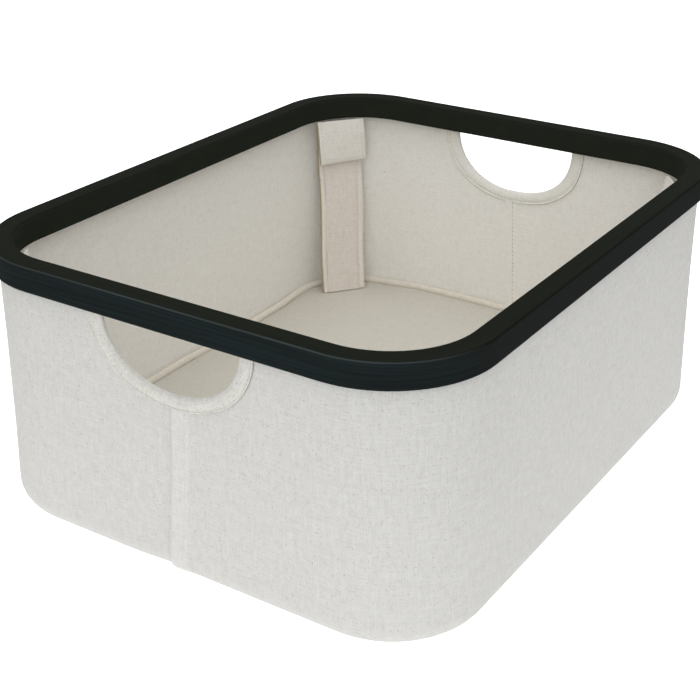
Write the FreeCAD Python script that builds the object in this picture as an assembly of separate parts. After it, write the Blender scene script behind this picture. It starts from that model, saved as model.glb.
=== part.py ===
"""A canvas storage basket on a bent-wood rim, with four covered stays that fold down on its base.

The row frame has X along the basket, Y across it and Z up, and its origin is the middle of the
underside. All sizes are in millimetres. "Front" is -Y, "left" is -X.
"""
import FreeCAD, Part
import math
import os

# Rim: one square-sectioned hoop of bent wood, grooved underneath for the edge of the canvas.
rim_length = 401.0
rim_width = 320.0
rim_corner_radius = 62.6
rim_band = 13.5
rim_height = 15.8
rim_edge_round = 1.6
basket_height = 171.0
groove_depth = 8.4
groove_clearance = 0.4

# Bag: canvas outside, lining inside, a soft rounded edge all round the bottom.
canvas_thick = 1.5
lining_thick = 1.2
canvas_inset = 4.0
canvas_in_groove = 8.0
foot_flare_length = 0.2
foot_flare_width = 7.6
foot_corner_growth = 0.4
bottom_round = 16.0

# Handle holes in the two short walls, bound with folded tape.
handle_width = 91.0
handle_depth = 37.5
binding_width = 10.0
binding_thick = 1.0
binding_top_gap = 0.4

# Seams that join the two halves of the canvas and of the lining at the middle of the short walls.
seam_width = 8.0
seam_thick = 0.8
seam_foot = 1.0

# Base: a board and a pad between the outer canvas and a cover, with a corded seam round the inside.
base_top = 17.5
cover_thick = 1.2
board_thick = 3.0
board_margin = 2.0
pad_clearance = 0.2
piping_diameter = 5.5
seat_gap = 0.05

# Corner stays: a flat batten in a sewn sleeve. Each leans a little out at the top.
stay_angle = 52.0
stay_foot_reach = 38.0
stay_top_reach = 47.5
stay_foot_gap = 0.3
stay_top_gap = 4.0
stay_end_round = 1.0
sleeve_width = 35.5
sleeve_thick = 4.4
sleeve_hem = 4.5
hem_step = 0.6
batten_width = 25.0
batten_thick = 2.5
batten_clearance = 0.15
pocket_floor = 2.0
batten_top_inset = 1.5

# Flaps: two layers of canvas that hang from under the rim and close over the stays.
flap_width = 37.5
flap_length = 32.0
flap_thick = 2.0
flap_corner_round = 2.0
flap_top_gap = 0.3
tape_width = 25.0
tape_height = 18.0
tape_thick = 0.5
tape_gap = 0.3
tape_above_hem = 3.0

# The foot of the walls follows the rim, a little wider across the basket.
top_length = rim_length - 2 * canvas_inset
top_width = rim_width - 2 * canvas_inset
top_corner_radius = rim_corner_radius - canvas_inset
foot_length = top_length + foot_flare_length
foot_width = top_width + foot_flare_width
foot_corner_radius = top_corner_radius + foot_corner_growth

rim_under = basket_height - rim_height
cover_under = base_top - cover_thick
wall_thick = canvas_thick + lining_thick
wall_top = rim_under + canvas_in_groove

CORNERS = {
    "front_left": (-1, -1),
    "front_right": (1, -1),
    "back_left": (-1, 1),
    "back_right": (1, 1),
}
ENDS = {"left": -1, "right": 1}

V = FreeCAD.Vector


def rounded_rectangle(length, width, radius, z):
    """Closed wire of four lines and four arcs, centred on the Z axis."""
    x, y = length / 2, width / 2
    mid = radius * (1 - math.sqrt(0.5))
    edges = []
    for sx, sy in ((1, 1), (-1, 1), (-1, -1), (1, -1)):
        side = V(sx * x, sy * (y - radius), z)
        end = V(sx * (x - radius), sy * y, z)
        bend = V(sx * (x - mid), sy * (y - mid), z)
        first, last = (side, end) if sx == sy else (end, side)
        edges.append(Part.Arc(first, bend, last).toShape())
    wire_edges = []
    for index, arc in enumerate(edges):
        following = edges[(index + 1) % 4]
        start = arc.lastVertex(True).Point
        stop = following.firstVertex(True).Point
        wire_edges += [arc, Part.LineSegment(start, stop).toShape()]
    return Part.Wire(wire_edges)


def bag_outline(z, inset):
    """Outline of the bag's walls at height z, inset from the canvas's outer face."""
    share = z / rim_under
    length = foot_length + (top_length - foot_length) * share - 2 * inset
    width = foot_width + (top_width - foot_width) * share - 2 * inset
    radius = foot_corner_radius + (top_corner_radius - foot_corner_radius) * share - inset
    return rounded_rectangle(length, width, radius, z)


def bag_block(inset, low, high):
    """Solid block inside the bag's walls between two heights, with upright-walled ends."""
    return Part.makeLoft([bag_outline(low, inset), bag_outline(high, inset)], True, True)


def bag_core(inset, high):
    """Solid whose side and rounded bottom edge lie inset inside the canvas's outer face."""
    block = bag_block(inset, inset, wall_top + 2)
    bottom = [edge for edge in block.Edges if edge.BoundBox.ZMax < inset + 0.001]
    return block.makeFillet(bottom_round - inset, bottom).common(slab(inset - 1, high))


def slab(low, high, half=2 * rim_length):
    """Very wide block between two heights."""
    return Part.makeBox(2 * half, 2 * half, high - low, V(-half, -half, low))


def half_space(side):
    """Block that covers everything behind (1) or in front of (-1) the plane through the seams."""
    reach = 2 * rim_length
    low = 0 if side > 0 else -reach
    return Part.makeBox(2 * reach, reach, 2 * reach, V(-reach, low, -reach))


def handle_prism(grow, sign):
    """Half-ellipse under the rim, run through one short wall."""
    width = handle_width / 2 + grow
    depth = handle_depth + grow
    centre = V(0, 0, rim_under)
    if width >= depth:
        curve = Part.Ellipse(centre + V(0, width, 0), centre + V(0, 0, depth), centre)
    else:
        curve = Part.Ellipse(centre + V(0, 0, depth), centre + V(0, -width, 0), centre)
    face = Part.Face(Part.Wire(curve.toShape()))
    reach = rim_length
    prism = face.extrude(V(sign * reach, 0, 0))
    return prism.common(slab(0, rim_under))


def both_handle_prisms(grow):
    """The two handle holes as cutters."""
    return [handle_prism(grow, sign) for sign in ENDS.values()]


def make_rim():
    """Hoop with softened edges and a groove that follows the canvas."""
    outside = rounded_rectangle(rim_length, rim_width, rim_corner_radius, rim_under)
    inside = rounded_rectangle(rim_length - 2 * rim_band, rim_width - 2 * rim_band,
                               rim_corner_radius - rim_band, rim_under)
    ring = Part.Face(outside).cut(Part.Face(inside)).extrude(V(0, 0, rim_height))
    flat = [edge for edge in ring.Edges if edge.BoundBox.ZLength < 0.001]
    ring = ring.makeFillet(rim_edge_round, flat)
    low, high = rim_under - 1, rim_under + groove_depth
    groove = bag_block(-groove_clearance, low, high)
    groove = groove.cut(bag_block(wall_thick + groove_clearance, low, high))
    return {"rim_hoop": ring.cut(groove)}


def make_walls():
    """Two halves of canvas with the rounded bottom edge, and two halves of lining."""
    flat_bottom = bag_block(bottom_round, -1, canvas_thick + 1)
    canvas = bag_core(0, wall_top).cut(bag_core(canvas_thick, wall_top + 1))
    canvas = canvas.cut([flat_bottom] + both_handle_prisms(binding_thick))
    lining = bag_block(canvas_thick, cover_under, wall_top)
    lining = lining.cut(bag_block(wall_thick, cover_under - 1, wall_top + 1))
    lining = lining.cut(both_handle_prisms(binding_thick))
    pieces = {}
    for name, side in (("front", -1), ("back", 1)):
        pieces["canvas_" + name] = canvas.common(half_space(side))
        pieces["lining_" + name] = lining.common(half_space(side))
    return pieces


def make_bindings():
    """Tape folded over the edge of each handle hole, on both faces of the wall."""
    low = rim_under - handle_depth - 2 * binding_width
    high = rim_under - binding_top_gap
    outer = bag_block(-binding_thick, low, high)
    tape_zone = outer.cut(bag_block(wall_thick + binding_thick, low - 1, high + 1))
    wall = bag_block(0, low - 1, high + 1).cut(bag_block(wall_thick, low - 2, high + 2))
    wall = wall.cut(both_handle_prisms(binding_thick))
    pieces = {}
    for name, sign in ENDS.items():
        ring = handle_prism(binding_width, sign).cut(handle_prism(0, sign))
        pieces["handle_binding_" + name] = tape_zone.common(ring).cut(wall)
    return pieces


def make_seams():
    """Flat felled seams down the middle of the short walls, one outside and one inside at each."""
    seam_top = rim_under - handle_depth - binding_width
    outer_skin = bag_core(-seam_thick, seam_top).cut(bag_core(0, seam_top + 1))
    low = base_top + piping_diameter + 2 * seat_gap
    inner_skin = bag_block(wall_thick, low, seam_top)
    inner_skin = inner_skin.cut(bag_block(wall_thick + seam_thick, low - 1, seam_top + 1))
    reach = rim_length
    pieces = {}
    for name, sign in ENDS.items():
        start = 0 if sign > 0 else -reach
        strip = Part.makeBox(reach, seam_width, seam_top, V(start, -seam_width / 2, seam_foot))
        pieces["canvas_seam_" + name] = outer_skin.common(strip)
        pieces["lining_seam_" + name] = inner_skin.common(strip)
    return pieces


def make_base():
    """Outer canvas, board, pad, cover and the corded seam round the inside."""
    canvas = bag_block(bottom_round, 0, canvas_thick)
    board_top = canvas_thick + seat_gap + board_thick
    board = bag_block(bottom_round + board_margin, canvas_thick + seat_gap, board_top)
    pocket = bag_block(bottom_round + board_margin - pad_clearance, 0, board_top + seat_gap)
    pad = bag_core(canvas_thick + pad_clearance, cover_under - seat_gap).cut(pocket)
    cover = bag_block(wall_thick, cover_under, base_top)
    radius = piping_diameter / 2
    height = base_top + seat_gap + radius
    path = bag_outline(height, wall_thick + seat_gap + radius)
    start = path.Edges[1].firstVertex(True).Point
    along = path.Edges[1].tangentAt(path.Edges[1].FirstParameter)
    section = Part.Wire(Part.Circle(start, along, radius).toShape())
    turned = Part.Wire(path.Edges[1:] + path.Edges[:1])
    piping = turned.makePipeShell([section], True, False)
    return {
        "base_canvas": canvas,
        "base_board": board,
        "base_pad": pad,
        "base_cover": cover,
        "base_piping": piping,
    }


def corner_frame(sx, sy):
    """Centre of a rim corner's arc, the way out along the stay's middle, and the way across it."""
    centre = V(sx * (rim_length / 2 - rim_corner_radius), sy * (rim_width / 2 - rim_corner_radius), 0)
    turn = math.radians(stay_angle)
    out = V(sx * math.cos(turn), sy * math.sin(turn), 0)
    across = V(out.y, -out.x, 0)
    return centre, out, across


stay_axis_height = base_top + stay_foot_gap + stay_end_round
stay_top_height = rim_under - stay_top_gap
stay_lean = math.atan((stay_top_reach - stay_foot_reach) / (stay_top_height - base_top))
stay_axis_reach = stay_foot_reach + stay_end_round
stay_length = (stay_top_height - stay_axis_height) / math.cos(stay_lean)
flap_radius = flap_thick / 2
flap_axis_height = rim_under - flap_top_gap - flap_radius
closed_gap = 2 * tape_thick + tape_gap
flap_axis_reach = (stay_foot_reach + (flap_axis_height - base_top) * math.tan(stay_lean)
                   - (closed_gap + flap_radius) / math.cos(stay_lean))


def leaning_placement(sx, sy, reach, height):
    """Placement whose X runs across a stay, Y out through its thickness and Z up its length."""
    centre, out, across = corner_frame(sx, sy)
    up = V(0, 0, math.cos(stay_lean)) + out * math.sin(stay_lean)
    through = out * math.cos(stay_lean) - V(0, 0, math.sin(stay_lean))
    origin = centre + out * reach + V(0, 0, height)
    matrix = FreeCAD.Matrix(
        across.x, through.x, up.x, origin.x,
        across.y, through.y, up.y, origin.y,
        across.z, through.z, up.z, origin.z,
        0, 0, 0, 1)
    return FreeCAD.Placement(matrix)


def placed(shape, placement):
    """Copy of a shape moved to its corner."""
    copy = shape.copy()
    copy.Placement = placement
    return copy


def sleeve_shape():
    """Sewn sleeve about the hinge line: a raised middle, flat stitched hems and an open top."""
    half = sleeve_width / 2
    front = -stay_end_round
    back = front + sleeve_thick
    hem_front, hem_back = front + hem_step, back - hem_step
    inner = half - sleeve_hem
    outline = [
        V(-half, hem_front, 0), V(-inner - hem_step, hem_front, 0), V(-inner, front, 0),
        V(inner, front, 0), V(inner + hem_step, hem_front, 0), V(half, hem_front, 0),
        V(half, hem_back, 0), V(inner + hem_step, hem_back, 0), V(inner, back, 0),
        V(-inner, back, 0), V(-inner - hem_step, hem_back, 0), V(-half, hem_back, 0),
    ]
    face = Part.Face(Part.makePolygon(outline + outline[:1]))
    face.translate(V(0, 0, -stay_end_round))
    body = face.extrude(V(0, 0, stay_length + stay_end_round))
    foot = [edge for edge in body.Edges
            if edge.BoundBox.ZMax < -stay_end_round + 0.001
            and edge.BoundBox.YMax < front + 0.001 and edge.BoundBox.XLength > inner]
    body = body.makeFillet(stay_end_round, foot)
    width = batten_width + 2 * batten_clearance
    depth = batten_thick + 2 * batten_clearance
    middle = (front + back) / 2
    pocket = Part.makeBox(width, depth, stay_length, V(-width / 2, middle - depth / 2, pocket_floor))
    return body.cut(pocket)


def batten_shape():
    """Flat batten with rounded ends, standing in the sleeve's pocket."""
    low = pocket_floor + seat_gap
    high = stay_length - batten_top_inset
    middle = sleeve_thick / 2 - stay_end_round
    bar = Part.makeBox(batten_width, batten_thick, high - low,
                       V(-batten_width / 2, middle - batten_thick / 2, low))
    ends = [edge for edge in bar.Edges
            if edge.BoundBox.YLength > batten_thick / 2 and edge.BoundBox.XLength < 0.001]
    return bar.makeFillet(batten_width / 5, ends)


def flap_shape():
    """Double-layer flap hanging from its hinge line, with a folded top edge."""
    half = flap_width / 2
    sheet = Part.makeBox(flap_width, flap_thick, flap_length, V(-half, -flap_radius, -flap_length))
    corners = [edge for edge in sheet.Edges
               if edge.BoundBox.ZMax < 0.001 - flap_length and edge.BoundBox.YLength > flap_radius]
    sheet = sheet.makeFillet(flap_corner_round, corners)
    fold = Part.makeCylinder(flap_radius, flap_width, V(-half, 0, 0), V(1, 0, 0))
    return sheet.fuse(fold).removeSplitter()


def tape_shape(front, low):
    """Rectangle of fastening tape, its face standing at the given depth and height."""
    return Part.makeBox(tape_width, tape_thick, tape_height, V(-tape_width / 2, front, low))


def make_stays_and_flaps():
    """The four corners' stays and flaps, each with its half of the fastening tape."""
    pieces = {}
    tape_low = tape_above_hem - flap_length
    flap_to_stay = (flap_axis_height - stay_axis_height) / math.cos(stay_lean)
    flap_to_stay -= (closed_gap + flap_radius - stay_end_round) * math.tan(stay_lean)
    for corner, (sx, sy) in CORNERS.items():
        stay = leaning_placement(sx, sy, stay_axis_reach, stay_axis_height)
        flap = leaning_placement(sx, sy, flap_axis_reach, flap_axis_height)
        loop_front = -stay_end_round - tape_thick
        pieces["stay_sleeve_" + corner] = placed(sleeve_shape(), stay)
        pieces["stay_batten_" + corner] = placed(batten_shape(), stay)
        pieces["loop_tape_" + corner] = placed(tape_shape(loop_front, flap_to_stay + tape_low), stay)
        pieces["corner_flap_" + corner] = placed(flap_shape(), flap)
        pieces["hook_tape_" + corner] = placed(tape_shape(flap_radius, tape_low), flap)
    return pieces


def make_all():
    """Every piece of the basket by name."""
    pieces = {}
    for maker in (make_rim, make_walls, make_bindings, make_seams, make_base, make_stays_and_flaps):
        pieces.update(maker())
    return pieces


def main():
    """Write one file for each piece and print the places of the hinges."""
    os.makedirs("parts", exist_ok=True)
    for name, shape in make_all().items():
        solids = shape.Solids
        whole = solids[0] if len(solids) == 1 else Part.makeCompound(solids)
        whole.exportStep(os.path.join("parts", name + ".step"))
        print(f"{name:28s} solids {len(solids)}  volume {whole.Volume:10.1f}  valid {whole.isValid()}")
    print(f"stay lean {math.degrees(stay_lean):.3f} degrees, stay length {stay_length:.2f}")
    for corner, (sx, sy) in CORNERS.items():
        centre, out, across = corner_frame(sx, sy)
        foot = centre + out * stay_axis_reach + V(0, 0, stay_axis_height)
        top = centre + out * flap_axis_reach + V(0, 0, flap_axis_height)
        print(corner, "stay hinge", tuple(round(c, 4) for c in foot),
              "flap hinge", tuple(round(c, 4) for c in top),
              "across", tuple(round(c, 6) for c in across))


main()
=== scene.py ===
"""Studio scene of a canvas storage basket on a black bent-wood rim.

The basket stands on its base with X along it, Y across it and Z up, in metres. "Front" is -Y and
"left" is -X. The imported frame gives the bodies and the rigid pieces, and the classes below make the
cloth: two wall halves with their lining, the felled seams, the bound handle holes, the base with
its corded seam, and in each corner a stay in its sleeve under a hanging flap.
"""
from __future__ import annotations

import logging
import math
from dataclasses import dataclass, field
from enum import Enum

import bmesh
import bpy
import numpy as np
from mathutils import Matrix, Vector

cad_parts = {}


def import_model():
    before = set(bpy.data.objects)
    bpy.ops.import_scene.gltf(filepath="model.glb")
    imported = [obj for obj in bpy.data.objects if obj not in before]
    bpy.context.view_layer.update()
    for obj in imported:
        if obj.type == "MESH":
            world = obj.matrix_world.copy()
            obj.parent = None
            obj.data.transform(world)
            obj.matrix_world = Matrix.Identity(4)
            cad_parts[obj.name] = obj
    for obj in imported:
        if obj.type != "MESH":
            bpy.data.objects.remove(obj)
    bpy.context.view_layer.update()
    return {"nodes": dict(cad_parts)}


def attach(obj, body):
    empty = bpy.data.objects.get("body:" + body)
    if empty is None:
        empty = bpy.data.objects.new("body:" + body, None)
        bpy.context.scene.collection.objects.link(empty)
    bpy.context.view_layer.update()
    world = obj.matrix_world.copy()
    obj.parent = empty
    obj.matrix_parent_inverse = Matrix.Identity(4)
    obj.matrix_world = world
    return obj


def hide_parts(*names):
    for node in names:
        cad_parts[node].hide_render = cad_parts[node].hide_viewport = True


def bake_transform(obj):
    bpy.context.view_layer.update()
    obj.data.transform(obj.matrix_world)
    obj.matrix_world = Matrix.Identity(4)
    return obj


LOG = logging.getLogger("basket")
MM = 0.001
UV_NAME = "cloth"
RIM_LENGTH, RIM_WIDTH, RIM_CORNER, RIM_TOP = 401 * MM, 320 * MM, 62.6 * MM, 171 * MM
MERGE = 1e-7
CRISP = 48.0
COLOUR = {"data_type": "RGBA"}
# Each kind of piece starts at its own metre of the cloth map, so no two show the same weave.
LINING_START, BASE_START, SLEEVE_START, SEAM_START, FLAP_START = 3, 5, 7, 8, 9

Tree = bpy.types.NodeTree
Node = bpy.types.Node
Socket = bpy.types.NodeSocket
Material = bpy.types.Material
Materials = dict[str, bpy.types.Material]
Object = bpy.types.Object
Array = np.ndarray


class End(Enum):
    """The two short walls, by the sign of X."""

    LEFT = -1
    RIGHT = 1


class Half(Enum):
    """The two halves of the walls, by the sign of Y."""

    FRONT = -1
    BACK = 1


class Corner(Enum):
    """The four corners, by the signs of X and Y."""

    FRONT_LEFT = (-1, -1)
    FRONT_RIGHT = (1, -1)
    BACK_LEFT = (-1, 1)
    BACK_RIGHT = (1, 1)


def linear(code: str) -> tuple[float, float, float, float]:
    """Turn an sRGB hex colour into linear light.

    Args:
        code: Six hex digits.

    Returns:
        Linear red, green, blue and an alpha of 1.
    """
    parts = [int(code[i:i + 2], 16) / 255 for i in (0, 2, 4)]
    lit = [p / 12.92 if p <= 0.04045 else ((p + 0.055) / 1.055) ** 2.4 for p in parts]
    return lit[0], lit[1], lit[2], 1.0


def add(tree: Tree, kind: str, settings: dict | None = None, inputs: dict | None = None) -> Node:
    """Add one node with its settings, values and links.

    Args:
        tree: Tree that gets the node.
        kind: Node type.
        settings: Properties of the node.
        inputs: Values, sockets to link, or nodes whose first live output is linked, by the
            input's name or number.

    Returns:
        The new node.
    """
    node = tree.nodes.new(kind)
    for key, value in (settings or {}).items():
        setattr(node, key, value)
    for key, value in (inputs or {}).items():
        if isinstance(value, Node):
            value = next(socket for socket in value.outputs if socket.enabled)
        if isinstance(value, Socket):
            tree.links.new(value, node.inputs[key])
        else:
            node.inputs[key].default_value = value
    return node


def speckle(tree: Tree, place: Node | Socket,
            grain: tuple[float, float, float], detail: float, roughness: float,
            shift: tuple[float, float, float] = (0, 0, 0), space: str = "2D") -> Node:
    """Add a random pattern whose grains have a real size.

    Args:
        tree: Tree that gets it.
        place: Coordinates in metres.
        grain: Size of one grain along each axis, in metres.
        detail: How many finer patterns lie in it.
        roughness: How strong the finer ones are.
        shift: Start of the pattern, which sets it apart from others.
        space: Two dimensions on a cloth map, three in object space.

    Returns:
        The pattern.
    """
    sized = add(tree, "ShaderNodeMapping", {}, {
        "Vector": place, "Scale": tuple(1 / size for size in grain), "Location": shift})
    return add(tree, "ShaderNodeTexNoise", {"noise_dimensions": space}, {
        "Vector": sized, "Scale": 1.0, "Detail": detail, "Roughness": roughness})


def new_material(name: str) -> tuple[Material, Tree]:
    """Make a material with an empty tree.

    Args:
        name: Name of the finish.

    Returns:
        The material and its tree.
    """
    material = bpy.data.materials.new(name)
    material.use_nodes = True
    material.node_tree.nodes.clear()
    return material, material.node_tree


def finish_tree(tree: Tree, colour: Node, height: Node, relief: tuple[float, float],
                looks: dict[str, float | Node]) -> None:
    """Add a material's relief, shader and output.

    Args:
        tree: The material's tree.
        colour: Colour of the surface.
        height: Pattern that raises the surface.
        relief: Strength of the raised pattern, and its height in metres.
        looks: The shader's other inputs.
    """
    strength, distance = relief
    bump = add(tree, "ShaderNodeBump", {}, {
        "Strength": strength, "Distance": distance, "Height": height})
    surface = add(tree, "ShaderNodeBsdfPrincipled", {}, {
        "Base Color": colour, "Normal": bump, **looks})
    add(tree, "ShaderNodeOutputMaterial", {}, {"Surface": surface})


def show(name: str, data: bpy.types.ID) -> Object:
    """Put a mesh, lamp or camera into the scene.

    Args:
        name: Name of the object.
        data: What it shows.

    Returns:
        The object, at the origin.
    """
    obj = bpy.data.objects.new(name, data)
    bpy.context.scene.collection.objects.link(obj)
    return obj


def smooth(value: Array | float, low: float, high: float) -> Array:
    """Smooth step from 0 at low to 1 at high.

    Args:
        value: Where to read the step.
        low: Value at which it starts.
        high: Value at which it ends.

    Returns:
        The step's height, from 0 to 1.
    """
    share = np.clip((np.asarray(value, dtype=float) - low) / (high - low), 0, 1)
    return share * share * (3 - 2 * share)


@dataclass(frozen=True)
class Ripple:
    """Gentle unevenness of sewn cloth: a few long waves with a fixed seed."""

    seed: int
    height: float = 0.3 * MM
    shortest: float = 38 * MM
    longest: float = 170 * MM
    waves: int = 7
    gain: float = 1.3

    def at(self, along: Array, up: Array) -> Array:
        """Height of the waves.

        Args:
            along: Distance along the cloth.
            up: Distance up the cloth.

        Returns:
            Offsets of about plus or minus the height.
        """
        rng = np.random.default_rng(self.seed)
        total = np.zeros(np.broadcast(along, up).shape)
        for _ in range(self.waves):
            turn = rng.uniform(0, math.pi)
            length = rng.uniform(self.shortest, self.longest)
            phase = rng.uniform(0, 2 * math.pi)
            wave = (along * math.cos(turn) + up * math.sin(turn)) / length
            total = total + np.sin(2 * math.pi * wave + phase) * length / self.longest
        return total * self.height * self.gain / math.sqrt(self.waves)


def finish_mesh(name: str, verts: Array, faces: list[tuple[int, ...]],
                uvs: list[tuple[float, float]], material: Material,
                sharp: float = CRISP) -> Object:
    """Make an object whose faces point outwards and whose cloth map is in metres.

    Args:
        name: Name of the object.
        verts: Points in metres.
        faces: Corners of each face.
        uvs: One map point for each face corner, in the faces' order.
        material: Finish of the whole piece.
        sharp: Edges bent by more degrees than this stay crisp.

    Returns:
        The object, at the origin.
    """
    mesh = bpy.data.meshes.new(name)
    mesh.from_pydata([tuple(v) for v in verts], [], faces)
    layer = mesh.uv_layers.new(name=UV_NAME)
    layer.data.foreach_set("uv", np.asarray(uvs, dtype=np.float32).ravel())
    work = bmesh.new()
    work.from_mesh(mesh)
    bmesh.ops.remove_doubles(work, verts=work.verts, dist=MERGE)
    bmesh.ops.recalc_face_normals(work, faces=work.faces)
    work.to_mesh(mesh)
    work.free()
    mesh.polygons.foreach_set("use_smooth", [True] * len(mesh.polygons))
    mesh.set_sharp_from_angle(angle=math.radians(sharp))
    mesh.materials.append(material)
    return show(name, mesh)


@dataclass
class Layers:
    """Faces over two layers of matching points, with the map point of each face corner."""

    columns: int
    rows: int
    uv: Array
    faces: list[tuple[int, ...]] = field(default_factory=list)
    uvs: list[tuple[float, float]] = field(default_factory=list)

    def put(self, *corners: tuple[int, int, int]) -> None:
        """Add one face.

        Args:
            corners: Layer, column and row of each corner.
        """
        self.faces.append(tuple((layer * self.columns + i % self.columns) * self.rows + j
                                for layer, i, j in corners))
        self.uvs.extend(tuple(self.uv[i, j]) for _, i, j in corners)

    def strip(self, i: int) -> None:
        """Add both layers between two columns, and the edge that joins them at the first row.

        Args:
            i: The first of the two columns.
        """
        for j in range(self.rows - 1):
            self.put((0, i, j), (0, i + 1, j), (0, i + 1, j + 1), (0, i, j + 1))
            self.put((1, i, j + 1), (1, i + 1, j + 1), (1, i + 1, j), (1, i, j))
        self.put((1, i, 0), (1, i + 1, 0), (0, i + 1, 0), (0, i, 0))


def closed_shell(name: str, outside: Array, inside: Array, uv: Array,
                 material: Material, sharp: float = CRISP) -> Object:
    """Make a sheet with a real thickness from its two faces.

    Args:
        name: Name of the object.
        outside: Grid of points, columns by rows by 3.
        inside: The other face, in the same order.
        uv: Map points, columns by rows.
        material: Finish of the sheet.
        sharp: Edges bent by more degrees than this stay crisp.

    Returns:
        The closed sheet.
    """
    columns, rows = outside.shape[:2]
    shell = Layers(columns, rows, uv)
    last, top = columns - 1, rows - 1
    for i in range(last):
        shell.strip(i)
        shell.put((0, i, top), (0, i + 1, top), (1, i + 1, top), (1, i, top))
    for j in range(top):
        shell.put((0, 0, j), (0, 0, j + 1), (1, 0, j + 1), (1, 0, j))
        shell.put((1, last, j), (1, last, j + 1), (0, last, j + 1), (0, last, j))
    verts = np.concatenate([outside.reshape(-1, 3), inside.reshape(-1, 3)])
    return finish_mesh(name, verts, shell.faces, shell.uvs, material, sharp)


def swept_tube(name: str, grid: Array, uv: Array, material: Material,
               ring: bool = False, sharp: float = CRISP) -> Object:
    """Make a closed piece from a row of closed sections.

    Args:
        name: Name of the object.
        grid: Sections by points round each section by 3.
        uv: Map points, with one more point round each section, and one section more in a ring.
        material: Finish of the piece.
        ring: True where the last section joins the first. Otherwise both ends are closed.
        sharp: Edges bent by more degrees than this stay crisp.

    Returns:
        The closed piece.
    """
    sections, around = grid.shape[:2]
    faces: list[tuple[int, ...]] = []
    uvs: list[tuple[float, float]] = []
    for i in range(sections if ring else sections - 1):
        for j in range(around):
            corners = [(i, j), (i + 1, j), (i + 1, j + 1), (i, j + 1)]
            faces.append(tuple((a % sections) * around + b % around for a, b in corners))
            uvs.extend(tuple(uv[a, b]) for a, b in corners)
    if not ring:
        for i in (0, sections - 1):
            faces.append(tuple(i * around + j for j in range(around)))
            uvs.extend(tuple(uv[i, j]) for j in range(around))
    return finish_mesh(name, grid.reshape(-1, 3), faces, uvs, material, sharp)


def disc(name: str, top: Array, bottom: Array, uv: Array, material: Material) -> Object:
    """Make a flat closed piece from rings of points that run from its edge to its middle.

    Args:
        name: Name of the object.
        top: Points of the upper face, points round by rings by 3.
        bottom: Points of the lower face, in the same order.
        uv: Map points, points round plus one by rings.
        material: Finish of the piece.

    Returns:
        The closed piece, with a pole in the middle of each face.
    """
    around, rings = top.shape[:2]
    size, last = around * rings, rings - 1
    shell = Layers(around, rings, uv)
    centre = tuple(uv[:, last].mean(axis=0))
    for i in range(around):
        shell.strip(i)
        for layer in (0, 1):
            near, far = (layer * size + k % around * rings + last for k in (i, i + 1))
            shell.faces.append((near, far, 2 * size + layer))
            shell.uvs.extend([tuple(uv[i, last]), tuple(uv[i + 1, last]), centre])
    poles = np.array([top[:, -1].mean(axis=0), bottom[:, -1].mean(axis=0)])
    verts = np.concatenate([top.reshape(-1, 3), bottom.reshape(-1, 3), poles])
    return finish_mesh(name, verts, shell.faces, shell.uvs, material)


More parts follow.
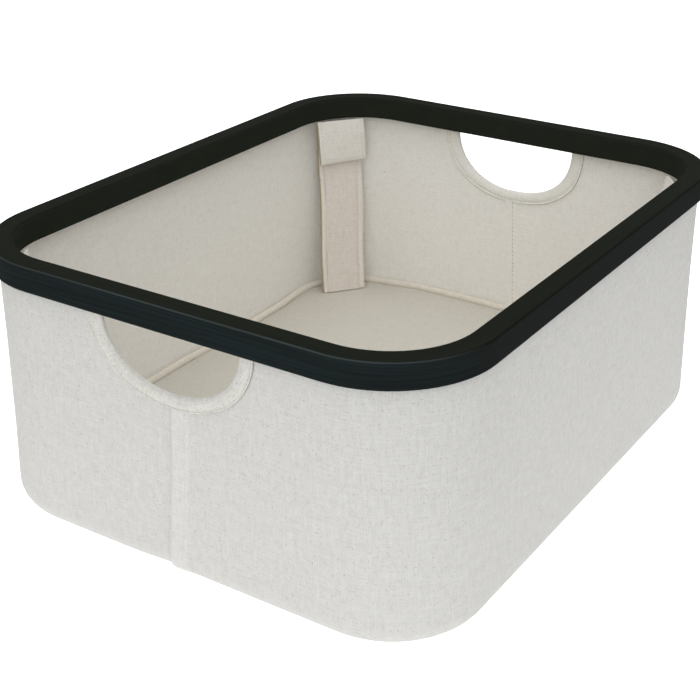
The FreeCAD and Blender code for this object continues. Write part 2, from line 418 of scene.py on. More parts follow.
@dataclass(frozen=True)
class WovenCloth:
    """Natural cotton and linen canvas, plain woven and unbleached.

    The eye gets a dull off-white with slubs, which are thicker places in a thread, and short brown
    and grey flecks of husk. Sizes are in metres on the piece's own cloth map. Where a piece has
    hems, their colour and place are given. Along an edge that stands off the wall, a dark line is
    painted in as shadow, with its colour and place.
    """

    name: str
    light: str
    shade: str
    fleck: str
    husk: str
    fleck_share: float = 0.5
    thread: float = 0.75 * MM
    slub: float = 18 * MM
    grit: float = 0.7 * MM
    grit_share: float = 0.7
    patch: tuple[float, float] = (4 * MM, 5.5 * MM)
    patch_share: float = 0.6
    spread: float = 0.42
    contrast: float = 1.0
    fleck_edge: float = 0.735
    fleck_gain: float = 0.08
    fleck_soft: float = 0.09
    relief: float = 0.5
    sheen: float = 0.08
    # Colour, place across the map and start along it of a painted shadow line by an edge.
    soil: str | None = None
    painted_shadow_at: float = 0.0
    painted_shadow_from: float = 0.0
    hem: str | None = None
    hem_width: float = 3.8 * MM
    width: float = 35.2 * MM

    def build(self) -> Material:
        """Make the material.

        Returns:
            The woven cloth, read from the cloth map.
        """
        material, tree = new_material(self.name)
        place = add(tree, "ShaderNodeUVMap", {"uv_map": UV_NAME})
        weave = self.weave(tree, place)
        colour = self.tone(tree, place, weave)
        if self.hem:
            colour = self.hemmed(tree, place, colour)
        colour = self.flecked(tree, place, colour)
        if self.soil:
            colour = self.painted_shadow_line(tree, place, colour)
        finish_tree(tree, colour, weave, (self.relief, 0.25 * MM), {
            "Roughness": 0.93, "Sheen Weight": self.sheen, "Sheen Roughness": 0.6,
            "Specular IOR Level": 0.25})
        return material

    def weave(self, tree: Tree, place: Node) -> Node:
        """Add the threads: warp up the wall, weft along it, and a fine grit.

        Args:
            tree: The material's tree.
            place: The cloth map.

        Returns:
            Their sum.
        """
        # The real threads are about 0.5 mm apart. They are drawn 0.75 mm apart so that they show.
        warp = speckle(tree, place, (self.thread, self.slub, 1), 3.0, 0.6, (3.1, 3.1, 3.1))
        weft = speckle(tree, place, (self.slub, self.thread, 1), 3.0, 0.6, (7.7, 7.7, 7.7))
        fine = speckle(tree, place, (self.grit, self.grit, 1), 1.0, 0.5)
        both = add(tree, "ShaderNodeMath", {"operation": "ADD"}, {0: warp, 1: weft})
        return add(tree, "ShaderNodeMath", {"operation": "MULTIPLY_ADD"}, {
            0: fine, 1: self.grit_share, 2: both})

    def tone(self, tree: Tree, place: Node, weave: Node) -> Node:
        """Add the cloth's own colour, uneven in threads and in patches.

        Args:
            tree: The material's tree.
            place: The cloth map.
            weave: The threads.

        Returns:
            The colour.
        """
        blotch = speckle(tree, place, (*self.patch, 1), 2.0, 0.5)
        mixed = add(tree, "ShaderNodeMath", {"operation": "MULTIPLY_ADD"}, {
            0: blotch, 1: self.patch_share, 2: weave})
        # Each pattern lies round a half, so this is where their sum lies.
        middle = (2 + self.grit_share + self.patch_share) / 2
        reach = self.spread / self.contrast
        share = add(tree, "ShaderNodeMapRange", {}, {
            "Value": mixed, "From Min": middle - reach, "From Max": middle + reach})
        return add(tree, "ShaderNodeMix", COLOUR, {
            0: share, 6: linear(self.shade), 7: linear(self.light)})

    def hemmed(self, tree: Tree, place: Node, colour: Node) -> Node:
        """Make the turned and stitched hems, of two layers, paler than the single cloth between.

        Args:
            tree: The material's tree.
            place: The cloth map.
            colour: The cloth's colour so far.

        Returns:
            The colour with the hems.
        """
        part = add(tree, "ShaderNodeSeparateXYZ", {}, {0: place})
        aside = add(tree, "ShaderNodeMath", {"operation": "SUBTRACT"}, {
            0: part.outputs[0], 1: self.width / 2})
        off = add(tree, "ShaderNodeMath", {"operation": "ABSOLUTE"}, {0: aside})
        start = self.width / 2 - self.hem_width
        turned = add(tree, "ShaderNodeMapRange", {}, {
            "Value": off, "From Min": start - 0.3 * MM, "From Max": start + 0.3 * MM,
            "To Max": 0.5})
        return add(tree, "ShaderNodeMix", COLOUR, {0: turned, 6: colour, 7: linear(self.hem)})

    def flecked(self, tree: Tree, place: Node, colour: Node) -> Node:
        """Add flecks along the warp, husks along the weft, and a few round knots.

        Args:
            tree: The material's tree.
            place: The cloth map.
            colour: The cloth's colour so far.

        Returns:
            The colour with the flecks.
        """
        # Colour, width, height and rarity of each kind.
        kinds = ((self.fleck, 0.6 * MM, 2.8 * MM, 0.0), (self.husk, 3.4 * MM, 0.6 * MM, 0.0),
                 (self.fleck, 1.2 * MM, 1.0 * MM, 0.07))
        for number, (tint, across, along, rarity) in enumerate(kinds):
            shift = (11.3 * number + 2.0, 5.9, 0)
            spots = speckle(tree, place, (across, along, 1), 2.0, 0.55, shift)
            edge = self.fleck_edge - self.fleck_gain * self.fleck_share + rarity
            share = add(tree, "ShaderNodeMapRange", {}, {
                "Value": spots, "From Min": edge, "From Max": edge + self.fleck_soft,
                "To Max": 0.6})
            colour = add(tree, "ShaderNodeMix", COLOUR, {0: share, 6: colour, 7: linear(tint)})
        return colour

    def painted_shadow_line(self, tree: Tree, place: Node, colour: Node) -> Node:
        """Paint a shadow line along the edge of a tape, sleeve or flap that stands off the wall.

        Args:
            tree: The material's tree.
            place: The cloth map.
            colour: The cloth's colour so far.

        Returns:
            The colour with the painted shadow line.
        """
        part = add(tree, "ShaderNodeSeparateXYZ", {}, {0: place})
        off = add(tree, "ShaderNodeMath", {"operation": "SUBTRACT"}, {
            0: part.outputs[0], 1: self.painted_shadow_at})
        near = add(tree, "ShaderNodeMath", {"operation": "ABSOLUTE"}, {0: off})
        line = add(tree, "ShaderNodeMapRange", {}, {
            "Value": near, "From Min": 1.3 * MM, "From Max": 0.7 * MM, "To Max": 0.9})
        later = add(tree, "ShaderNodeMapRange", {}, {
            "Value": part.outputs[1], "From Min": self.painted_shadow_from - 12 * MM,
            "From Max": self.painted_shadow_from + 12 * MM})
        share = add(tree, "ShaderNodeMath", {"operation": "MULTIPLY"}, {0: line, 1: later})
        return add(tree, "ShaderNodeMix", COLOUR, {0: share, 6: colour, 7: linear(self.soil)})


@dataclass(frozen=True)
class StainedWood:
    """Bent beech strip, stained black under a thin matt varnish.

    The eye gets near-black with a greenish brown cast, and fine open grain that runs round the
    hoop. The upright outer faces get a painted reflection, cool on the short sides and warm on
    the long ones, and the top faces are painted darker as shade. Along the outer top edge runs a
    thin painted highlight line on the short sides, and a painted dark shade line on the long ones.
    """

    name: str
    dark: str
    light: str
    inner: str
    streak: str
    reflection_tints: tuple[str, str]
    edges: tuple[str, str]
    half_length: float = RIM_LENGTH / 2
    half_width: float = RIM_WIDTH / 2
    corner: float = RIM_CORNER
    top: float = RIM_TOP
    growth: float = 1.1 * MM
    grain_run: float = 90 * MM
    tones: tuple[float, float] = (0.35, 0.72)
    streaks: tuple[float, float] = (0.36, 0.58)
    outer_band: tuple[float, float] = (8 * MM, 4 * MM)
    edge_line_band: tuple[float, float] = (1.1 * MM, 0.5 * MM)

    def build(self) -> Material:
        """Make the material.

        Returns:
            The wood, whose grain follows the hoop in object space.
        """
        material, tree = new_material(self.name)
        given = add(tree, "ShaderNodeTexCoord")
        place = add(tree, "ShaderNodeSeparateXYZ", {}, {0: given.outputs["Object"]})
        facing = add(tree, "ShaderNodeSeparateXYZ", {}, {0: given.outputs["Normal"]})
        across = self.across(tree, given.outputs["Object"])
        lines = self.grain(tree, place, across)
        slant = add(tree, "ShaderNodeMath", {"operation": "ABSOLUTE"}, {0: facing.outputs[0]})
        short_side = add(tree, "ShaderNodeMapRange", {}, {
            "Value": slant, "From Min": 0.1, "From Max": 0.5})
        veil = self.veil(tree, across, lines, short_side)
        colour = add(tree, "ShaderNodeMapRange", {}, {
            "Value": lines, "From Min": self.tones[0], "From Max": self.tones[1]})
        colour = add(tree, "ShaderNodeMix", COLOUR, {
            0: colour, 6: linear(self.dark), 7: linear(self.light)})
        # Top faces stay darker than upright ones: painted shade against the stronger top light.
        upright = add(tree, "ShaderNodeMapRange", {}, {
            "Value": facing.outputs[2], "From Min": 0.85, "From Max": 0.3})
        colour = add(tree, "ShaderNodeMix", COLOUR, {0: upright, 6: colour, 7: veil})
        painted_edge_line = self.painted_edge_line(tree, place, across, lines)
        # Painted edge line: a grey highlight on the short sides, a dark shade on the long ones.
        line = add(tree, "ShaderNodeMix", COLOUR, {
            0: short_side, 6: linear(self.edges[0]), 7: linear(self.edges[1])})
        colour = add(tree, "ShaderNodeMix", COLOUR, {0: painted_edge_line, 6: colour, 7: line})
        gloss = add(tree, "ShaderNodeMapRange", {}, {
            "Value": lines, "From Min": 0.3, "From Max": 0.7, "To Min": 0.55, "To Max": 0.75})
        finish_tree(tree, colour, lines, (0.35, 0.2 * MM), {
            "Roughness": gloss, "IOR": 1.45, "Specular IOR Level": 0.012})
        return material

    def across(self, tree: Tree, place: Socket) -> Node:
        """Measure how far out of the corners' centres a point of the hoop lies.

        Args:
            tree: The material's tree.
            place: Object coordinates.

        Returns:
            The distance, which is the corner's radius on the hoop's outer face.
        """
        size = add(tree, "ShaderNodeVectorMath", {"operation": "ABSOLUTE"}, {0: place})
        reach = add(tree, "ShaderNodeVectorMath", {"operation": "SUBTRACT"}, {
            0: size, 1: (self.half_length - self.corner, self.half_width - self.corner, 10.0)})
        beyond = add(tree, "ShaderNodeVectorMath", {"operation": "MAXIMUM"}, {
            0: reach, 1: (0, 0, 0)})
        return add(tree, "ShaderNodeVectorMath", {"operation": "LENGTH"}, {0: beyond})

    def grain(self, tree: Tree, place: Node, across: Node) -> Node:
        """Add the growth lines.

        Args:
            tree: The material's tree.
            place: Object coordinates, in parts.
            across: Distance across the hoop's band.

        Returns:
            The lines, from 0 to 1.
        """
        # Across the band and up it one unit is a growth line, and round the hoop it is 90 mm.
        steps = []
        for value, size in ((across, self.growth), (place.outputs[2], self.growth),
                            (place.outputs[0], self.grain_run), (place.outputs[1], self.grain_run)):
            steps.append(add(tree, "ShaderNodeMath", {"operation": "MULTIPLY"}, {
                0: value, 1: 1 / size}))
        run = add(tree, "ShaderNodeCombineXYZ", {}, dict(enumerate(steps[:3])))
        return add(tree, "ShaderNodeTexNoise", {"noise_dimensions": "4D"}, {
            "Vector": run, "W": steps[3], "Scale": 1.0, "Detail": 4.0, "Roughness": 0.62})

    def veil(self, tree: Tree, across: Node, lines: Node, short_side: Node) -> Node:
        """Add the colour of the upright faces.

        Args:
            tree: The material's tree.
            across: Distance across the hoop's band.
            lines: Growth lines.
            short_side: 1 where a face looks along the basket.

        Returns:
            The inner faces' colour, and outside a painted reflection tint broken by dark grain.
        """
        outward = add(tree, "ShaderNodeMapRange", {}, {
            "Value": across, "From Min": self.corner - self.outer_band[0],
            "From Max": self.corner - self.outer_band[1]})
        # Painted reflection: cool on the short sides' outer faces, warm on the long ones.
        reflection_tint = add(tree, "ShaderNodeMix", COLOUR, {
            0: short_side, 6: linear(self.reflection_tints[0]), 7: linear(self.reflection_tints[1])})
        pale = add(tree, "ShaderNodeMapRange", {}, {
            "Value": lines, "From Min": self.streaks[0], "From Max": self.streaks[1]})
        grained = add(tree, "ShaderNodeMix", COLOUR, {0: pale, 6: linear(self.streak), 7: reflection_tint})
        return add(tree, "ShaderNodeMix", COLOUR, {0: outward, 6: linear(self.inner), 7: grained})

    def painted_edge_line(self, tree: Tree, place: Node, across: Node, lines: Node) -> Node:
        """Find the hoop's outer top edge, for a painted highlight and shade line.

        Args:
            tree: The material's tree.
            place: Object coordinates, in parts.
            across: Distance across the hoop's band.
            lines: Growth lines, which break the line up.

        Returns:
            Share of the painted edge line.
        """
        shares = []
        for value, limit in ((across, self.corner), (place.outputs[2], self.top)):
            shares.append(add(tree, "ShaderNodeMapRange", {}, {
                "Value": value, "From Min": limit - self.edge_line_band[0],
                "From Max": limit - self.edge_line_band[1]}))
        edge = add(tree, "ShaderNodeMath", {"operation": "MULTIPLY"}, {0: shares[0], 1: shares[1]})
        return add(tree, "ShaderNodeMath", {"operation": "MULTIPLY"}, {0: edge, 1: lines})


@dataclass(frozen=True)
class GrainedSolid:
    """Plain stuff with a fine grain: thread, hardboard, wadding, a moulded strip or woven tape."""

    name: str
    base: str
    other: str
    grain: tuple[float, float, float]
    roughness: float
    relief: float = 0.3
    sheen: float = 0.0

    def build(self) -> Material:
        """Make the material.

        Returns:
            The finish, read in object space.
        """
        material, tree = new_material(self.name)
        place = add(tree, "ShaderNodeTexCoord").outputs["Object"]
        grains = speckle(tree, place, self.grain, 3.0, 0.6, space="3D")
        colour = add(tree, "ShaderNodeMix", COLOUR, {
            0: grains, 6: linear(self.base), 7: linear(self.other)})
        finish_tree(tree, colour, grains, (self.relief, 0.2 * MM), {
            "Roughness": self.roughness, "Sheen Weight": self.sheen})
        return material


FINISHES: dict[str, WovenCloth | StainedWood | GrainedSolid] = {
    "canvas": WovenCloth("woven_cotton_canvas", "DBDAD7", "C5C4C1", "96805F", "9A9893", 0.75,
                         contrast=0.7),
    "lining": WovenCloth("woven_cotton_lining", "FBFAF6", "F0EDE6", "CDBDA4", "C9C6BF", 0.7,
                         contrast=0.8),
    # The outer seam's strip is the canvas painted a little lighter: painted highlight on the raised
    # strip.
    "felled": WovenCloth("felled_canvas_seam", "E0DFDD", "CBCAC8", "A08C72", "A6A4A0", 0.8,
                         contrast=0.7),
    "felled_lining": WovenCloth("felled_lining_seam", "FDFBF6", "F0EDE5", "C2AB8F", "C2BEB5", 0.6,
                                contrast=0.7),
    # The tapes, sleeve and flap get a painted shadow line along an edge that stands off the wall.
    "binding": WovenCloth("folded_canvas_tape", "E4E2DC", "CAC8C2", "9C8D79", "9F9D97", 1.1,
                          relief=0.6, soil="9A968C", painted_shadow_from=72 * MM),
    # The tape's inner face is the same tape painted lighter and warmer: painted bounce light.
    "binding_inside": WovenCloth("folded_canvas_tape_inside", "FAF9F3", "EEECE3", "BBA489",
                                 "BCB8B0", 0.6, contrast=0.6, soil="B4AFA0",
                                 painted_shadow_at=24.2 * MM, painted_shadow_from=-20 * MM),
    "piping": WovenCloth("canvas_over_cord", "EAE4D8", "D9D1C3", "B59C80", "B5AEA1", 0.45,
                         contrast=0.7, thread=0.8 * MM, slub=9 * MM),
    "cover": WovenCloth("woven_base_cover", "D3CFC4", "C5C1B6", "A8917A", "A8A299", 0.7,
                        contrast=0.7),
    "sleeve": WovenCloth("sewn_canvas_sleeve", "F3EBE4", "E2D8D0", "B0957E", "B3A79C", 0.7,
                         contrast=0.7, soil="A39679", painted_shadow_from=-1.0, hem="F6F1E6"),
    "flap": WovenCloth("double_canvas_flap", "F8F4ED", "E6E1D9", "B0957E", "B3ADA3", 0.6,
                       contrast=0.75, soil="A39679", painted_shadow_at=FLAP_START - 18.9 * MM,
                       painted_shadow_from=-1.0),
    "thread": GrainedSolid("spun_polyester_thread", "E6E1D6", "D0CABE", (0.5 * MM,) * 3, 0.6,
                           sheen=0.2),
    "seam_thread": GrainedSolid("spun_cotton_thread", "CFC0A6", "B5A486", (0.5 * MM,) * 3, 0.75,
                                sheen=0.1),
    # Last pairs: painted reflection tints, then the top edge's painted shade and highlight.
    "wood": StainedWood("stained_bent_beech", "151812", "22251E", "262A23", "181C1C",
                        ("1C1E1C", "1F2728"), ("070806", "4E5658")),
    "board": GrainedSolid("pressed_hardboard", "5A3F28", "7A5A3C", (2.5 * MM,) * 3, 0.75),
    "wadding": GrainedSolid("needled_wadding", "E4E3DF", "CFCDC8", (4 * MM, 4 * MM, 1.5 * MM), 0.95,
                            0.5),
    "batten": GrainedSolid("moulded_polypropylene", "DCDAD4", "D2D0CA", (3 * MM,) * 3, 0.45, 0.1),
    "loops": GrainedSolid("loop_tape", "E2DBCD", "C2B9A8", (0.6 * MM,) * 3, 0.95, 1.0, 0.3),
    "hooks": GrainedSolid("hook_tape", "DDD6C8", "B0A797", (0.9 * MM,) * 3, 0.7, 1.0),
}


def build_finishes() -> Materials:
    """Build every finish once, by what it covers."""
    return {part: finish.build() for part, finish in FINISHES.items()}


@dataclass
class BagForm:
    """Shape that all the cloth follows: a rounded rectangle that widens a little downwards.

    Distances run along half of the outline, from the middle of the left wall round the front or the
    back to the middle of the right wall. Depths are inwards from the canvas's outer face.
    """

    rim_length: float = RIM_LENGTH
    rim_width: float = RIM_WIDTH
    rim_corner: float = RIM_CORNER
    inset: float = 4 * MM
    foot_length: float = 393.2 * MM
    foot_width: float = 319.6 * MM
    foot_corner: float = 59 * MM
    rim_under: float = 155.2 * MM
    wall_top: float = 163.2 * MM
    bottom_round: float = 16 * MM
    canvas: float = 1.5 * MM
    lining: float = 1.2 * MM
    base_top: float = 17.5 * MM
    handle_half: float = 45.5 * MM
    handle_depth: float = 37.5 * MM
    handle_pull: float = 1.4 * MM
    left_pull: float = -0.4
    hole_powers: tuple[float, float] = (2.45, 2.0)
    hole_margin: float = 3.2 * MM
    waist: float = 0.8 * MM
    ripple: Ripple = Ripple(11, 0.32 * MM)
    foot_fade: tuple[float, float] = (0.004, 0.03)
    rim_fade: tuple[float, float] = (0.135, 0.154)
    seam_fade: float = 0.03
    column_counts: tuple[int, int, int, int] = (28, 9, 19, 24)
    end_run: float = 98.5 * MM
    bend_run: float = 92 * MM
    side_run: float = 276 * MM
    base_drop: float = 0.25 * MM
    right_rise: float = 3.0 * MM
    back_dip: float = 2.4 * MM
    base_ripple: Ripple = Ripple(5, 0.5 * MM, 70 * MM, 240 * MM)
    ripple_drop: float = 0.4 * MM

    @property
    def wall(self) -> float:
        """Thickness of canvas and lining together."""
        return self.canvas + self.lining

    @property
    def stops(self) -> tuple[float, float, float, float, float]:
        """Where the stretches of half the outline stop.

        Returns:
            Distances at which the end, bend, side, bend and end stretches stop.
        """
        end = self.end_run
        bend = end + self.bend_run
        side = bend + self.side_run
        return end, bend, side, side + self.bend_run, side + self.bend_run + end

    def outline(self, along: Array, z: Array, depth: Array, side: int) -> Array:
        """Points of the wall.

        Args:
            along: Distance along half the outline.
            z: Height.
            depth: Distance inwards from the canvas's outer face.
            side: -1 for the front half, 1 for the back half.

        Returns:
            Points, with X, Y and Z last.
        """
        along, z, depth = np.broadcast_arrays(along, z, depth)
        share = z / self.rim_under
        top_x, top_y = self.rim_length / 2 - self.inset, self.rim_width / 2 - self.inset
        half_x = self.foot_length / 2 + (top_x - self.foot_length / 2) * share
        half_y = self.foot_width / 2 + (top_y - self.foot_width / 2) * share
        bend = self.foot_corner + (self.rim_corner - self.inset - self.foot_corner) * share
        run = half_y - bend
        end, bent, side_end, _, last = self.stops
        right = along > (bent + side_end) / 2
        mirrored = np.where(right, last - along, along)
        # Beside the hole the cloth keeps its places. The rest of the short wall is spread to fit.
        hole = self.handle_half + 1 * MM
        beyond = hole + (mirrored - hole) * (run - hole) / (end - hole)
        end_y = np.where(mirrored < hole, mirrored, beyond)
        turn = np.clip((mirrored - end) / self.bend_run, 0, 1) * math.pi / 2
        side_share = np.clip((mirrored - bent) / (self.side_run / 2), 0, 1)
        radius = bend - depth
        round_x = half_x - bend + radius * np.cos(turn)
        round_y = half_y - bend + radius * np.sin(turn)
        side_x = (half_x - bend) * (1 - side_share)
        x = np.where(mirrored < end, half_x - depth, np.where(mirrored < bent, round_x, side_x))
        y = np.where(mirrored < end, end_y, np.where(mirrored < bent, round_y, half_y - depth))
        return np.stack([x * np.where(right, 1.0, -1.0), y * side, z], axis=-1)

    def give(self, along: Array, z: Array, side: int) -> Array:
        """How far the soft wall stands in from its plain shape.

        Args:
            along: Distance along half the outline.
            z: Height.
            side: -1 for the front half, 1 for the back half.

        Returns:
            Depths, positive inwards, that fade out under the rim and at the floor.
        """
        last = self.stops[4]
        fade = smooth(z, *self.foot_fade) * (1 - smooth(z, *self.rim_fade))
        meet = smooth(along, 0, self.seam_fade) * smooth(last - along, 0, self.seam_fade)
        wave = self.ripple.at(along + 2.0 * (side + 1), z) * meet
        waist = self.waist * np.sin(math.pi * np.clip(z / self.rim_under, 0, 1))
        return waist + wave * fade

    def at(self, along: Array, z: Array, depth: Array, side: int) -> Array:
        """Points of the soft wall at a depth inwards from its outer face."""
        return self.outline(along, z, depth + self.give(along, z, side), side)

    def turn_under(self, z: Array) -> Array:
        """How far the rounded bottom edge lies in from the wall.

        Args:
            z: Height.

        Returns:
            Depths, zero above the rounding.
        """
        bottom = self.bottom_round
        inward = bottom - np.sqrt(np.clip(bottom ** 2 - (bottom - z) ** 2, 0, None))
        return np.where(z < bottom, inward, 0)

    def fullness(self, right_wall: Array | bool, front: Array | bool) -> Array:
        """Power of a quarter of a handle hole's curve: 2 is an ellipse, and more is squarer."""
        return np.where(np.logical_and(right_wall, front), *self.hole_powers)

    def hole_depth(self, right_wall: Array | bool) -> Array:
        """Depth of a handle hole: the cloth has pulled the right one deeper than the left one."""
        return self.handle_depth + self.handle_pull * np.where(right_wall, 1.0, self.left_pull)

    def hole_top(self, along: Array, grow: float, side: int) -> Array:
        """Height at which a wall layer ends: at the rim's groove, or at the edge of a handle hole.

        Args:
            along: Distance along half the outline.
            grow: How far outside the hole the layer stops.
            side: -1 for the front half, 1 for the back half.

        Returns:
            Heights.
        """
        last = self.stops[4]
        near, right = np.minimum(along, last - along), along > last / 2
        share = np.clip(near / (self.handle_half + grow), 0, 1)
        power = self.fullness(right, side < 0)
        reach = (self.hole_depth(right) + grow) * (1 - share ** power) ** (1 / power)
        over_hole = near < self.handle_half + grow - 1e-9
        return np.where(over_hole, self.rim_under - reach, self.wall_top)

    def columns(self, grow: float) -> Array:
        """Where a wall's columns of points stand.

        Args:
            grow: How far outside the handle holes the wall stops.

        Returns:
            Distances along half the outline, closer together at the holes' sides.
        """
        end, bent, side_end, _, last = self.stops
        hole = self.handle_half + grow
        over, beside, bend, side = self.column_counts
        half = np.concatenate([hole * np.sin(np.linspace(0, math.pi / 2, over)),
                               np.linspace(hole, end, beside)[1:], np.linspace(end, bent, bend)[1:],
                               np.linspace(bent, (bent + side_end) / 2, side)[1:]])
        return np.concatenate([half, (last - half)[::-1][1:]])

    def base_height(self, x: Array, y: Array) -> Array:
        """Height of the soft base cover's top.

        Args:
            x: Place along the basket.
            y: Place across it.

        Returns:
            Heights: raised towards the right wall, low along the back one, slightly uneven.
        """
        # Rise, dip and waves keep clear of the corners, where the folded stays lie on the cover.
        middle_x = 1 - smooth(np.abs(x), 0.105, 0.150)
        middle_y = 1 - smooth(np.abs(y), 0.070, 0.115)
        right = self.right_rise * smooth(x, 0.12, 0.19) * middle_y
        back = -self.back_dip * smooth(y, 0.05, 0.15) * middle_x
        wave = self.base_ripple.at(x, y) - self.ripple_drop
        calm = (1 - smooth(np.abs(x), 0.13, 0.17)) + (1 - smooth(np.abs(y), 0.09, 0.13))
        return self.base_top - self.base_drop + right + back + wave * np.clip(calm, 0, 1)


@dataclass
class Walls:
    """Two halves of canvas, two of lining, and the bottom of the bag."""

    form: BagForm
    finishes: Materials
    rows: int = 30
    lap_raise: float = 1.9 * MM
    lap_reach: float = 24 * MM
    lap_slant: float = 8.3 * MM
    lap_run: float = 108 * MM
    step: float = 1.0 * MM
    step_reach: float = 5.5 * MM

    def build(self) -> dict[str, Object]:
        """Make the walls.

        Returns:
            The pieces by the node that each one stands for.
        """
        made: dict[str, Object] = {}
        for half in Half:
            made["canvas_" + half.name.lower()] = self.canvas(half)
            made["lining_" + half.name.lower()] = self.lining(half)
        made["base_canvas"] = self.bottom()
        return made

    def canvas(self, half: Half) -> Object:
        """Make one outer half, which turns under in a rounded edge.

        Args:
            half: Front or back.

        Returns:
            The canvas.
        """
        form = self.form
        along = form.columns(form.hole_margin)[:, None]
        top = form.hole_top(along, form.hole_margin, half.value)
        turns = np.linspace(0, math.pi / 2, 9)[None, :-1]
        share = np.linspace(0, 1, self.rows)[None, :]
        grids = []
        for skin in (0.0, form.canvas):
            radius = form.bottom_round - skin
            low_z = form.bottom_round - radius * np.cos(turns) + 0 * along
            low_depth = form.bottom_round - radius * np.sin(turns) + 0 * along
            high_z = form.bottom_round + (top - form.bottom_round) * share
            z = np.concatenate([low_z, high_z], axis=1)
            depth = np.concatenate([low_depth, skin + 0 * high_z], axis=1)
            if half is Half.BACK:
                z, depth = self.lapped(along, z, depth)
            grids.append(form.at(along + 0 * z, z, depth, half.value))
        rise = np.concatenate([form.bottom_round * turns + 0 * along,
                               form.bottom_round * (math.pi / 2 - 1) + high_z], axis=1)
        uv = np.stack([along + 0 * rise + half.value, rise], axis=-1)
        return closed_shell("canvas_panel_" + half.name.lower(), grids[0], grids[1], uv,
                            self.finishes["canvas"])

    def lapped(self, along: Array, z: Array, depth: Array) -> tuple[Array, Array]:
        """Tuck the back half under the lapped seam, which pulls its bottom edge up a little.

        Args:
            along: Distance along half the outline.
            z: Height.
            depth: Distance inwards from the canvas's outer face.

        Returns:
            The new heights and depths.
        """
        near = np.exp(-(along / self.lap_reach) ** 2)
        z = z + self.lap_raise * near * (1 - smooth(z, 0.002, 0.05))
        past = along - self.lap_slant * (1 - z / self.lap_run)
        beside = np.exp(-(past / self.step_reach) ** 2) * smooth(past, -3 * MM, 1 * MM)
        return z, depth + self.step * beside * smooth(z, 0, 0.02)

    def lining(self, half: Half) -> Object:
        """Make one inner half, which starts under the base cover.

        Args:
            half: Front or back.

        Returns:
            The lining.
        """
        form = self.form
        along = form.columns(form.hole_margin)[:, None]
        top = form.hole_top(along, form.hole_margin, half.value)
        share = np.linspace(0, 1, self.rows)[None, :]
        low = form.base_top - 1.2 * MM
        z = low + (top - low) * share
        full = along + 0 * z
        outer = form.at(full, z, form.canvas + 0 * z, half.value)
        inner = form.at(full, z, form.wall + 0 * z, half.value)
        uv = np.stack([full + LINING_START + half.value, z], axis=-1)
        return closed_shell("lining_panel_" + half.name.lower(), inner, outer, uv,
                            self.finishes["lining"])

    def bottom(self) -> Object:
        """Make the canvas under the base, flat on the floor.

        Returns:
            The canvas.
        """
        form = self.form
        grid, uv = Base(form, self.finishes).rings(form.bottom_round, 0.0, 9)
        top = grid.copy()
        top[..., 2] = form.canvas
        return disc("bottom_canvas", top, grid, uv, self.finishes["canvas"])


